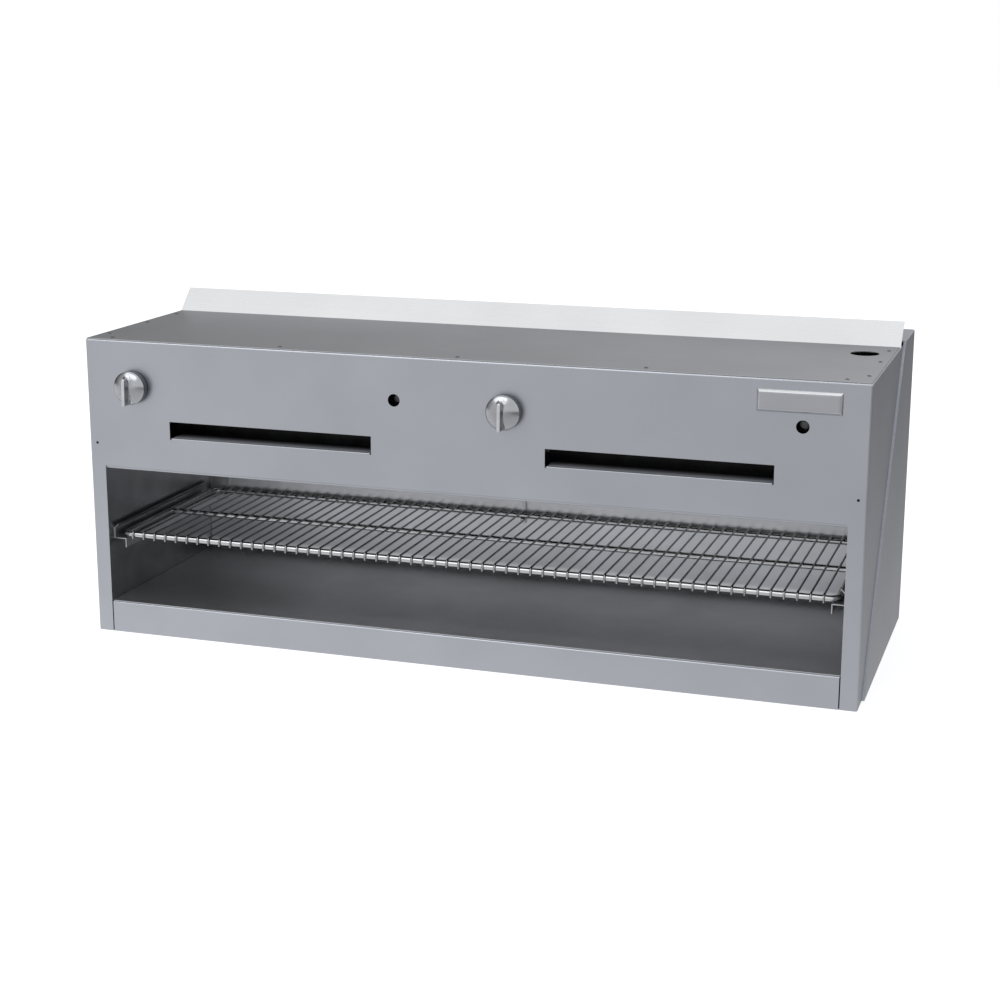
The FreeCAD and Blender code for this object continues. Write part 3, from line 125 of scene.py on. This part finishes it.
def linear(code):
    """A colour written as sRGB hex, as the linear values a socket takes."""
    parts = np.array([int(code[place : place + 2], 16) for place in (1, 3, 5)]) / 255
    low, high = parts / 12.92, ((parts + 0.055) / 1.055) ** 2.4
    return (*np.where(parts <= 0.04045, low, high), 1.0)


def add(tree, kind, sockets=None, **settings):
    """Adds a node: settings are its properties, and sockets its inputs, each a value or an output."""
    made = tree.nodes.new("ShaderNode" + kind)
    for name, setting in settings.items():
        setattr(made, name, setting)
    for name, source in (sockets or {}).items():
        if isinstance(source, bpy.types.NodeSocket):
            tree.links.new(source, made.inputs[name])
        else:
            made.inputs[name].default_value = source
    return made


def new_material(name):
    """An empty material with its shader and output joined."""
    material = bpy.data.materials.new(name)
    material.use_nodes = True
    tree = material.node_tree
    tree.nodes.clear()
    shader = add(tree, "BsdfPrincipled")
    add(tree, "OutputMaterial", {"Surface": shader.outputs["BSDF"]})
    return material, tree, shader


def cells(sizes_mm):
    """Texture cells to the metre for a cell that many millimetres long along X, Y and Z."""
    return [1000 / size for size in sizes_mm]


def metal(name, colour, dull, roughness, spread, grain, cloud_mm=140, rise_mm=0.01, tint=None, mill=None):
    """A metal whose grain moves its roughness by spread and raises its surface by rise_mm, and whose colour
    drifts from colour to dull over patches of cloud_mm. grain is the size of one grain along X, Y and Z.
    Further back than mill it keeps the rough finish of the mill, and painted shade darkens it inwards, where
    less light reaches."""
    material, tree, shader = new_material(name)
    place = add(tree, "TexCoord").outputs["Object"]
    lines = add(tree, "Mapping", {"Vector": place, "Scale": cells(grain)})
    grains = add(tree, "TexNoise", {"Vector": lines.outputs["Vector"], "Scale": 1.0, "Detail": 4.0,
                                    "Roughness": 0.65})
    cloud = add(tree, "TexNoise", {"Vector": place, "Scale": 1000 / cloud_mm, "Detail": 3.0,
                                   "Roughness": 0.5})
    patches = add(tree, "MapRange", {"Value": cloud.outputs["Fac"], "From Min": 0.3, "From Max": 0.7})
    paint = add(tree, "Mix", {"Factor": patches.outputs["Result"]}, data_type="RGBA")
    paint.inputs["A"].default_value = linear(colour)
    paint.inputs["B"].default_value = linear(dull)
    sheen = add(tree, "MapRange", {"Value": grains.outputs["Fac"], "From Min": 0.25, "From Max": 0.75,
                                   "To Min": roughness - spread, "To Max": roughness + spread})
    unshaded = paint.outputs["Result"]
    if mill is not None:
        rough, darkest_shade_at = mill + 2 * MM, mill + 34 * MM
        behind = add(tree, "SeparateXYZ", {"Vector": place}).outputs["Y"]
        sheen = add(tree, "MapRange", {"Value": behind, "From Min": mill, "From Max": rough,
                                       "To Min": sheen.outputs["Result"], "To Max": 0.85})
        # Painted shade: further behind the face the colour darkens towards near black, standing for the
        # light that falls off inside.
        inward_shade = add(tree, "MapRange", {"Value": behind, "From Min": rough, "From Max": darkest_shade_at, "To Max": 0.96})
        paint = add(tree, "Mix", {"Factor": inward_shade.outputs["Result"]}, data_type="RGBA")
        paint.inputs["B"].default_value = linear("#141414")
        tree.links.new(unshaded, paint.inputs["A"])
    relief = add(tree, "Bump", {"Height": grains.outputs["Fac"], "Distance": rise_mm * MM,
                                "Strength": 1.0})
    tree.links.new(paint.outputs["Result"], shader.inputs["Base Color"])
    tree.links.new(sheen.outputs["Result"], shader.inputs["Roughness"])
    tree.links.new(relief.outputs["Normal"], shader.inputs["Normal"])
    shader.inputs["Metallic"].default_value = 1.0
    if tint:
        shader.inputs["Specular Tint"].default_value = linear(tint)
    return material


# Stainless sheet, cold rolled and belt brushed: fine straight lines that blur what it mirrors along them.
# The real lines are 0.1 mm apart; they are drawn about a millimetre apart, so that they show.
# Behind its front face this sheet turns rough, and painted shade darkens it inwards.
brushed_across = metal("stainless sheet brushed across", "#AEB1B8", "#A8ABB2", 0.36, 0.05, (150, 1.2, 1.2),
                       tint="#C4C4C4", mill=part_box("front_panel")[0].y + 2 * MM)
brushed_upright = metal("stainless sheet brushed upright", "#AEB1B8", "#A8ABB2", 0.36, 0.05, (1.2, 1.2, 150),
                        tint="#C4C4C4")
# The cover: the same sheet, smoother, and a little paler as painted light on the top.
cover_sheet_lit = metal("stainless cover sheet with painted light", "#B6B8BC", "#AFB1B5", 0.34, 0.05, (150, 1.2, 1.2),
                      tint="#C4C4C4")
# Bright annealed stainless, rolled between polished rolls: smoother, with soft drawing lines, and made paler
# as painted light for the bright sky its upward face mirrors.
annealed_and_lit = metal("bright annealed stainless with painted light", "#E2E4E6", "#DCDEE0", 0.28, 0.04, (220, 2, 2))
# Stainless liner that heat has dulled a little: the same lines, less even and faintly warm in patches, and
# paler than the outer sheet as painted light in the cavity.
dulled_and_lit_liner = metal("heat dulled liner with painted light", "#CDCFD3", "#C2C3C6", 0.4, 0.05, (120, 1.5, 1.5),
                     cloud_mm=90)
# The liner's side walls: the same sheet, darker, as painted shade on the cavity's sides.
shaded_side_liner = metal("stainless side liner with painted shade", "#9EA0A3", "#8B8B8D", 0.32, 0.06, (1.5, 120, 1.5),
                       cloud_mm=70)
# Hot dipped zinc coating: large flat crystals, each a slightly different grey.
zinc = metal("hot dipped zinc", "#8F9293", "#7A7E80", 0.5, 0.08, (9, 9, 9), cloud_mm=14)
# Pressed stainless strip for the runners and hooks.
pressed_strip = metal("pressed stainless strip", "#BCBEC0", "#B0B2B4", 0.4, 0.05, (1.2, 60, 1.2),
                      cloud_mm=60)
# Nickel and chromium plate on drawn rod: near mirror, with faint drawing lines along the rod.
bright_plate = metal("chromium plated rod", "#BCBDBF", "#B0B1B3", 0.2, 0.04, (6, 6, 6), cloud_mm=40,
                     rise_mm=0.004)
# The same plate over the thin wires, made greyer as painted shade.
shaded_wire_plate = metal("plated wire with painted shade", "#9FA0A3", "#8F9093", 0.24, 0.05, (4, 4, 4), cloud_mm=30, rise_mm=0.004)
# Die-cast zinc knob, tumbled and plated: a soft mirror with a slight orange peel.
cast_plate = metal("plated die casting", "#A4A6A9", "#989A9D", 0.2, 0.03, (5, 5, 5), cloud_mm=20,
                   rise_mm=0.006)
# The front of the grip, paler than the casting: a painted highlight for the brighter light its forward face
# mirrors.
grip_front_highlight = metal("grip front plating with painted highlight", "#CFD0D3", "#C2C4C7", 0.24, 0.05, (3, 3, 3), cloud_mm=10,
                    rise_mm=0.004)
# The skirt under the knob's cap: a darker ring, made darker still as painted shade at the knob's side; dull,
# slightly pitted.
dark_skirt_and_shade = metal("dark knob skirt with painted shade", "#74777B", "#66696D", 0.42, 0.08, (2, 2, 2), cloud_mm=12,
                   rise_mm=0.02)
# Rolled aluminium plate, satin anodised: very fine lines, milky sheen.
satin_anodised = metal("satin anodised aluminium", "#AFB1B6", "#A9ABB0", 0.34, 0.04, (60, 0.8, 0.8))
# The plate's edge, cut bright after anodising: nearly a mirror, with the cutter's fine steps.
cut_edge = metal("bright cut aluminium edge", "#DFE1E3", "#D6D8DA", 0.2, 0.03, (0.8, 0.8, 0.8), cloud_mm=30,
                 rise_mm=0.003)
# Zinc plated screws, coloured dark grey as painted shade.
shaded_zinc_screws = metal("zinc plate with painted shade", "#5C6064", "#4C4F52", 0.4, 0.08, (1.5, 1.5, 1.5), cloud_mm=6)
# Steel for the small stile screws, coloured near black as painted shade.
shaded_stile_screws = metal("screw steel with painted shade", "#303236", "#26272A", 0.45, 0.08, (1.5, 1.5, 1.5), cloud_mm=6)
# Turned brass: tool marks round the bar, slightly tarnished.
turned_brass = metal("turned brass", "#C0A162", "#A98A4E", 0.28, 0.08, (4, 0.6, 4), cloud_mm=18)
# Nickel plated brass for the pilot fittings: cool grey, darkened below nickel's own tone as painted shade
# behind the panel, the tool marks showing through.
shaded_nickel = metal("nickel plated fitting with painted shade", "#5E5F61", "#515254", 0.34, 0.06, (3, 0.6, 3), cloud_mm=12)
# Black iron pipe with mill scale: dark blue-grey, patchy, dull.
mill_scale = metal("black iron mill scale", "#2B2D31", "#1E1F21", 0.6, 0.12, (3, 3, 3), cloud_mm=25,
                   rise_mm=0.05)
# Drawn aluminium tube: pale, fine lines along the draw.
drawn_tube = metal("drawn aluminium tube", "#BFC2C4", "#B0B3B5", 0.32, 0.06, (1, 1, 30), cloud_mm=30)
# Aluminised steel that has been hot: dark grey, matt, faintly brown in patches.
aluminised = metal("heated aluminised steel", "#3C3D3F", "#312F2E", 0.55, 0.1, (4, 4, 4), cloud_mm=35,
                   rise_mm=0.02)
# Heat resistant screen sheet, oxidised dark by the flame.
oxidised_screen = metal("oxidised screen sheet", "#57514D", "#3C3A3A", 0.55, 0.12, (2, 2, 2), cloud_mm=22)


def cordierite(name):
    """Pressed cordierite tile with rows of flame holes: chalky, matt, the holes dark and singed round.
    The real holes are 1.3 mm wide and 2 mm apart; they are drawn at that size."""
    material, tree, shader = new_material(name)
    place = add(tree, "TexCoord").outputs["Object"]
    lattice = add(tree, "Mapping", {"Vector": place, "Scale": cells((2, 2, 40))})
    holes = add(tree, "TexVoronoi", {"Vector": lattice.outputs["Vector"], "Scale": 1.0, "Randomness": 0.0},
                voronoi_dimensions="2D")
    mouth = add(tree, "MapRange", {"Value": holes.outputs["Distance"], "From Min": 0.28, "From Max": 0.36})
    chalk = add(tree, "TexNoise", {"Vector": place, "Scale": 160.0, "Detail": 5.0})
    body = add(tree, "Mix", {"Factor": chalk.outputs["Fac"]}, data_type="RGBA")
    body.inputs["A"].default_value = linear("#E4DCCB")
    body.inputs["B"].default_value = linear("#CFC2AC")
    pierced = add(tree, "Mix", {"Factor": mouth.outputs["Result"], "B": body.outputs["Result"]},
                  data_type="RGBA")
    pierced.inputs["A"].default_value = linear("#3A332C")
    relief = add(tree, "Bump", {"Height": mouth.outputs["Result"], "Distance": 0.8 * MM})
    tree.links.new(pierced.outputs["Result"], shader.inputs["Base Color"])
    tree.links.new(relief.outputs["Normal"], shader.inputs["Normal"])
    shader.inputs["Roughness"].default_value = 0.9
    return material


FINISHES = {
    brushed_across: ("front_panel", "lower_front_rail"),
    brushed_upright: ("side_panel_left", "side_panel_right", "rear_casing"),
    cover_sheet_lit: ("top_cover",),
    annealed_and_lit: ("flue_riser",),
    dulled_and_lit_liner: ("cavity_floor_and_back",),
    shaded_side_liner: ("cavity_wall_left", "cavity_wall_right"),
    zinc: ("base_pan", "splice_plate_left", "splice_plate_right", "burner_rail_front",
           "burner_rail_rear", "manifold_saddles"),
    pressed_strip: ("rack_guide_left", "rack_guide_right", "rear_rack_hooks"),
    bright_plate: ("rack_frame",),
    shaded_wire_plate: ("rack_wires",),
    turned_brass: ("valve_stem_left", "valve_stem_right", "gas_valve_left", "gas_valve_right",
                   "orifice_hood_left", "orifice_hood_right"),
    shaded_nickel: ("pilot_valve_left", "pilot_valve_right", "pilot_screw_left", "pilot_screw_right"),
    mill_scale: ("gas_manifold", "manifold_cap", "gas_inlet_coupling"),
    drawn_tube: ("pilot_tube_left", "pilot_tube_right"),
    aluminised: ("burner_box_left", "burner_box_right", "mixing_tube_left", "mixing_tube_right",
                 "pilot_burner_left", "pilot_burner_right", "heat_shield", "flue_baffle"),
    oxidised_screen: ("burner_screen_left", "burner_screen_right"),
    cordierite("pierced cordierite tile"): ("ceramic_tiles_left", "ceramic_tiles_right"),
}
for finish, names in FINISHES.items():
    for name in names:
        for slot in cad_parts[name].material_slots:
            slot.material = finish


# Knobs


# Depths forward from the front panel: where the skirt meets the dome, and the dome's top.
SKIRT = 14.3 * MM
CROWN = 23 * MM
# The rounded rim between the two.
RIM = 1.4 * MM


def ball_radius(radius):
    """The ball whose cap is as wide as the knob and rises from the skirt to the crown."""
    rise = CROWN - SKIRT
    return (radius**2 + rise**2) / (2 * rise)


def knob_dome(radius, axis):
    """A lathe profile: a flat back with a soft edge, the skirt, the rounded rim, then a cap of a ball."""
    ball = ball_radius(radius)
    back = 0.8 * MM
    turn = np.linspace(0, math.pi / 2, 9)
    cap = np.linspace(math.asin((radius - RIM) / ball), 0, 34)
    radii = np.concatenate([[0, radius - 2 * MM, radius - 0.6 * MM, radius, radius],
                            radius - RIM + RIM * np.cos(turn[1:-2]), ball * np.sin(cap)])
    depths = np.concatenate([[back, back, back + 0.3 * MM, back + 1.2 * MM, SKIRT - RIM],
                             SKIRT - RIM + RIM * np.sin(turn[1:-2]), CROWN - ball + ball * np.cos(cap)])
    return lathe(radii, depths, 96, axis)


def knob_grip(radius, front, axis):
    """A stadium outline drawn forward from root to front, narrowing on its way, with rounded edges. Near the
    dome it is let out by a distance that dies away with its height over the dome, as a hollow fillet. Its
    front leans back in proportion to height, so that the foot of the grip stands furthest out."""
    root, rounding = 10 * MM, 1.2 * MM
    straight_share = 0.85
    share = np.linspace(0, 1, 56)
    straight = np.interp(share, [0, straight_share], [root, front - rounding])
    corner = np.clip((share - straight_share) / 0.15, 0, 1) * math.pi / 2
    depth = straight + rounding * np.sin(corner)
    edge = 1.0 * MM * (1 - np.cos(corner))
    width = np.interp(depth, [root, front], [3.5 * MM, 2.7 * MM]) - 0.7 * edge
    top = 17.2 * MM - 1.6 * edge
    foot = 25.3 * MM - edge
    end_points = 17
    outline_points = 2 * end_points
    bend = np.linspace(0, math.pi, end_points)
    across = np.concatenate([np.cos(bend), -np.cos(bend)])
    along = np.concatenate([np.sin(bend), -np.sin(bend)])
    upper = np.arange(outline_points) < end_points
    x = width[:, None] * across
    z = np.where(upper, (top - width)[:, None], (width - foot)[:, None]) + width[:, None] * along
    ball = ball_radius(radius)
    dome_depth = CROWN - ball + np.sqrt(np.clip(ball**2 - x**2 - z**2, 0, None))
    fillet = 4.0 * MM * np.exp(-np.clip(depth[:, None] - dome_depth, 0, None) / (2.3 * MM))
    x = x + fillet * across
    z = z + fillet * np.clip(along, 0, None)
    lean_back = 1.5 * MM * (z + foot.max()) / (top.max() + foot.max())
    reach = depth[:, None] - lean_back * np.clip((depth[:, None] - root) / (front - root), 0, 1)
    rings = np.stack([x, -reach, z], -1)
    closing = rings[-1].copy()
    closing[:, 0] = 0
    points = np.concatenate([rings, closing[None]]) + np.asarray(axis)
    faces = [*grid_faces(len(points), outline_points, True), np.arange(outline_points)[::-1]]
    return points.reshape(-1, 3), faces


def knob(side):
    """A domed casting with a straight grip, its skirt darker, partly as painted shade, and the front of its
    grip paler as a painted highlight.
    """
    low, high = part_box("knob_" + side)
    stem_low, stem_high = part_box("valve_stem_" + side)
    middle = (stem_low + stem_high) / 2
    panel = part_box("front_panel")[0].y
    axis = (middle.x, panel, middle.z)
    radius = (high.x - low.x) / 2
    dome = knob_dome(radius, axis)
    points, faces = joined(dome, knob_grip(radius, panel - low.y, axis))
    made = piece("knob_casting_" + side, points, faces, cast_plate, "knob_" + side, ["knob_" + side])
    depth = panel - np.array([face.center.y for face in made.data.polygons])
    facing = np.array([-face.normal.y for face in made.data.polygons])
    on_dome = np.arange(len(faces)) < len(dome[1])
    # The skirt's faces get the darker material: partly a dark ring, partly painted shade.
    recoat(made, dark_skirt_and_shade, on_dome & (depth < SKIRT - RIM))
    # Faces of the grip that look forward get the paler plating: a painted highlight.
    recoat(made, grip_front_highlight, ~on_dome & (facing > 0.35))


for side in ("left", "right"):
    knob(side)


# Name plate


def bare_plate():
    """A plain plate with a raised face: the same rectangle with small round corners, drawn in and forward
    from the panel up its edge and over its bevel, then closed in the middle."""
    low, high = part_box("name_plate")
    centre = (low + high) / 2
    half = np.array([high.x - low.x, high.z - low.z]) / 2
    thick, bevel, sides = high.y - low.y, 3.7 * MM, 32
    edge = thick - bevel
    # Each step is how far in from the outline and how far out from the panel the rectangle is drawn.
    steps = np.array([[0, 0.02 * MM], [0, edge - 0.3 * MM], [0.1 * MM, edge],
                      [bevel - 0.3 * MM, thick - 0.4 * MM], [bevel, thick - 0.12 * MM],
                      [bevel + 0.5 * MM, thick], [2 * bevel, thick], [3.5 * bevel, thick]])
    turn = np.linspace(0, 2 * math.pi, sides, endpoint=False) + math.pi / sides
    corner_x = np.sign(np.cos(turn))
    corner_z = np.sign(np.sin(turn))
    inset, rise = steps[:, :1], steps[:, 1:]
    soft = np.clip(1.1 * MM - 0.2 * inset, 0.2 * MM, None)
    x = corner_x * (half[0] - inset - soft) + soft * np.cos(turn)
    z = corner_z * (half[1] - inset - soft) + soft * np.sin(turn)
    points = np.stack([x, -rise + 0 * x, z], -1).reshape(-1, 3) + np.array([centre.x, high.y, centre.z])
    faces = [*grid_faces(len(steps), sides, True), np.arange(sides) + sides * (len(steps) - 1),
             np.arange(sides)[::-1]]
    made = piece("blank_plate", points, faces, satin_anodised, "cabinet", ["name_plate"],
                 sharp=math.radians(30))
    bevel_bands = 4
    recoat(made, cut_edge, np.arange(len(faces)) < bevel_bands * sides)


bare_plate()


# Screws


def pan_head(head, height):
    """A pan head facing forward: a lathe profile with a rounded edge and a driver recess in the middle."""
    turn = np.linspace(0, math.pi / 2, 6)
    recess = 0.47 * head
    radii = np.concatenate([[0, head], head - 0.7 * MM * (1 - np.cos(turn[1:])),
                            [recess, 0.66 * recess, 0]])
    depths = np.concatenate([[0, 0], 0.7 * height * np.sin(turn[1:]),
                             [height, height - 0.6 * MM, height - 0.7 * MM]])
    return lathe(radii, depths, 20, (0, 0, 0))


def screws():
    """Eleven heads on the cover, turned to face up, and a smaller one on each stile."""
    from_side, from_front, apart = 12.7 * MM, 19 * MM, 285.75 * MM
    stile_height = 310 * MM
    cover_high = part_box("top_cover")[1]
    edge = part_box("side_panel_right")[1].x - from_side
    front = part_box("front_panel")[0].y
    depth = cover_high.y - front
    row = [(apart * step, front + from_front, cover_high.z) for step in range(-2, 3)]
    sides = [(across, front + depth * share, cover_high.z)
             for across in (-edge, edge) for share in (0.17, 0.555, 0.875)]
    forward, faces = pan_head(3.2 * MM, 0.9 * MM)
    upward = np.stack([forward[:, 0], forward[:, 2], -forward[:, 1]], -1)
    points, faces = repeated(upward, faces, row + sides)
    on_cover = piece("cover_screw_heads", points, faces, shaded_zinc_screws, "cabinet", ["panel_screws"])
    small, faces = pan_head(2.1 * MM, 0.9 * MM)
    points, faces = repeated(small, faces, [(across, front, stile_height) for across in (-edge, edge)])
    on_stiles = piece("stile_screw_heads", points, faces, shaded_stile_screws, "cabinet", ["stile_screws"])


screws()


# Sheets beside the burners


def closing_sheets():
    """Sheets on the burner rails that close the cavity's roof between the burners and the walls. Each is a
    tray outline (across, height) with round corners, drawn along Y from the front rail to the rear one."""
    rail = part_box("burner_rail_front")
    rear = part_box("burner_rail_rear")[1].y
    burners = [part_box("burner_box_" + side) for side in ("left", "right")]
    ends = [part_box("cavity_wall_left")[0].x, burners[0][0].x, burners[0][1].x,
            burners[1][0].x, burners[1][1].x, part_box("cavity_wall_right")[1].x]
    turn = np.linspace(0, math.pi / 2, 5)
    gap, lip, inner, outer = 1.5 * MM, 7 * MM, 0.8 * MM, 1.8 * MM
    parts = []
    for left, right in zip(ends[::2], ends[1::2]):
        half = (right - left) / 2 - gap
        corner = half - outer
        upper = np.stack([corner + inner * np.sin(turn), outer - inner * np.cos(turn)], -1)
        lower = np.stack([corner + outer * np.sin(turn[::-1]), outer - outer * np.cos(turn[::-1])], -1)
        side = np.concatenate([upper, [[corner + inner, lip], [corner + outer, lip]], lower])
        outline = np.concatenate([side, side[::-1] * (-1, 1)])
        place = np.stack([outline[:, 0] + (left + right) / 2, outline[:, 1] + rail[1].z + 0.1 * MM], -1)
        rows = [np.insert(place, 1, depth, axis=1) for depth in np.linspace(rail[0].y, rear, 4)]
        count = len(outline)
        faces = [*grid_faces(4, count, True), np.arange(count)[::-1], np.arange(count) + 3 * count]
        parts.append((np.concatenate(rows), faces))
    points, faces = joined(*parts)
    made = piece("closing_sheets", points, faces, aluminised, "cabinet")


closing_sheets()


# Floor, light and camera


def floor():
    """A pale floor that runs far past the view. The camera sees it lifted to white, and it keeps the
    object's shadow. A mirror sees it as a studio floor: bright near the object's front, fading to the right,
    ahead and behind."""
    material, tree, shader = new_material("pale studio floor")
    shader.inputs["Base Color"].default_value = linear("#F2F2F2")
    shader.inputs["Roughness"].default_value = 0.9
    path = add(tree, "LightPath")
    seen = add(tree, "Math", {0: path.outputs["Is Camera Ray"], 1: path.outputs["Is Transmission Ray"]},
               operation="MAXIMUM")
    lift = add(tree, "Math", {0: seen.outputs[0], 1: 0.5}, operation="MULTIPLY")
    shader.inputs["Emission Color"].default_value = (1, 1, 1, 1)
    tree.links.new(lift.outputs[0], shader.inputs["Emission Strength"])
    place = add(tree, "SeparateXYZ", {"Vector": add(tree, "TexCoord").outputs["Object"]})
    # For each change of level: its axis, where it starts and ends, and its share at both.
    fades = (
        ("X", -1.8, 0.9, 1.0, 0.68),
        ("X", 1.0, 1.8, 1.0, 0.45),
        ("Y", -1.7, -0.3, 0.93, 1.25),
        ("Y", 0.25, 1.8, 1.0, 0.76),
        ("Y", -0.25, 0.2, 1.0, 0.85),
    )
    level = 1.0
    for axis, start, end, first, last in fades:
        fade = add(tree, "MapRange", {"Value": place.outputs[axis], "From Min": start, "From Max": end,
                                      "To Min": first, "To Max": last})
        level = add(tree, "Math", {0: level, 1: fade.outputs["Result"]}, operation="MULTIPLY").outputs[0]
    mirrored = add(tree, "Emission", {"Strength": level})
    both = add(tree, "MixShader", {"Fac": path.outputs["Is Glossy Ray"], 1: shader.outputs["BSDF"],
                                   2: mirrored.outputs["Emission"]})
    tree.links.new(both.outputs["Shader"], tree.nodes["Material Output"].inputs["Surface"])
    reach = 30
    mesh = bpy.data.meshes.new("studio_floor")
    mesh.from_pydata([(-reach, -reach, 0), (reach, -reach, 0), (reach, reach, 0), (-reach, reach, 0)], [],
                     [(0, 1, 2, 3)])
    mesh.materials.append(material)
    made = bpy.data.objects.new("studio_floor", mesh)
    bpy.context.scene.collection.objects.link(made)


def surroundings():
    """White where it is seen, a plain pale grey where it only lights, and in a mirror a studio: white above
    and ahead, with a darker wall low on the left."""
    world = bpy.data.worlds.new("studio")
    world.use_nodes = True
    tree = world.node_tree
    tree.nodes.clear()
    path = add(tree, "LightPath")
    toward = add(tree, "SeparateXYZ", {"Vector": add(tree, "TexCoord").outputs["Generated"]})
    left = add(tree, "MapRange", {"Value": toward.outputs["X"], "From Min": -0.75, "From Max": 0.0,
                                  "To Min": 0.05, "To Max": 1.15})
    overhead = add(tree, "MapRange", {"Value": toward.outputs["X"], "From Min": -0.9, "From Max": -0.5,
                                      "To Min": 0.3, "To Max": 1.0})
    ahead = add(tree, "MapRange", {"Value": toward.outputs["Y"], "From Min": 0.0, "From Max": -0.6,
                                   "To Min": 0.0, "To Max": 0.95})
    above = add(tree, "MapRange", {"Value": toward.outputs["Z"], "From Min": 0.35, "From Max": 0.75,
                                   "To Min": 0.0, "To Max": 1.0})
    above = add(tree, "Math", {0: above.outputs["Result"], 1: overhead.outputs["Result"]},
                operation="MULTIPLY")
    mirrored = add(tree, "Math", {0: left.outputs["Result"], 1: ahead.outputs["Result"]},
                   operation="MAXIMUM")
    mirrored = add(tree, "Math", {0: mirrored.outputs[0], 1: above.outputs[0]}, operation="MAXIMUM")
    seen = add(tree, "Math", {0: path.outputs["Is Camera Ray"], 1: path.outputs["Is Transmission Ray"]},
               operation="MAXIMUM")
    plain = add(tree, "MapRange", {"Value": seen.outputs[0], "To Min": 0.75, "To Max": 1.0})
    strength = add(tree, "Mix", {"Factor": path.outputs["Is Glossy Ray"], "A": plain.outputs["Result"],
                                 "B": mirrored.outputs[0]})
    sky = add(tree, "Background", {"Color": (1, 1, 1, 1), "Strength": strength.outputs["Result"]})
    add(tree, "OutputWorld", {"Surface": sky.outputs["Background"]})
    bpy.context.scene.world = world


def softbox(name, place, target, width, height, power):
    """A rectangular area lamp at place that faces target."""
    lamp = bpy.data.lights.new(name, "AREA")
    lamp.shape = "RECTANGLE"
    lamp.size, lamp.size_y, lamp.energy = width, height, power
    made = bpy.data.objects.new(name, lamp)
    made.location = place
    made.rotation_euler = (Vector(target) - Vector(place)).to_track_quat("-Z", "Y").to_euler()
    bpy.context.scene.collection.objects.link(made)


def camera():
    """The photograph's view: a 68 mm lens from the front right, a little above the cover."""
    lens = bpy.data.cameras.new("view")
    lens.lens, lens.sensor_width = 68.2, 36
    lens.clip_end = 100
    made = bpy.data.objects.new("view", lens)
    right = Vector((0.9503, 0.3115, 0.0023))
    up = Vector((-0.0768, 0.2273, 0.9709))
    back = right.cross(up)
    turn = Matrix((right, up, back)).transposed()
    made.matrix_world = Matrix.Translation((0.9184, -2.80855, 0.9414)) @ turn.to_4x4()
    bpy.context.scene.collection.objects.link(made)
    bpy.context.scene.camera = made


floor()
surroundings()
softbox("overhead softbox", (-0.9, -1.8, 2.2), (-0.1, -0.2, 0.3), 2.4, 1.3, 19)
camera()
bpy.context.scene.view_settings.view_transform = "Standard"
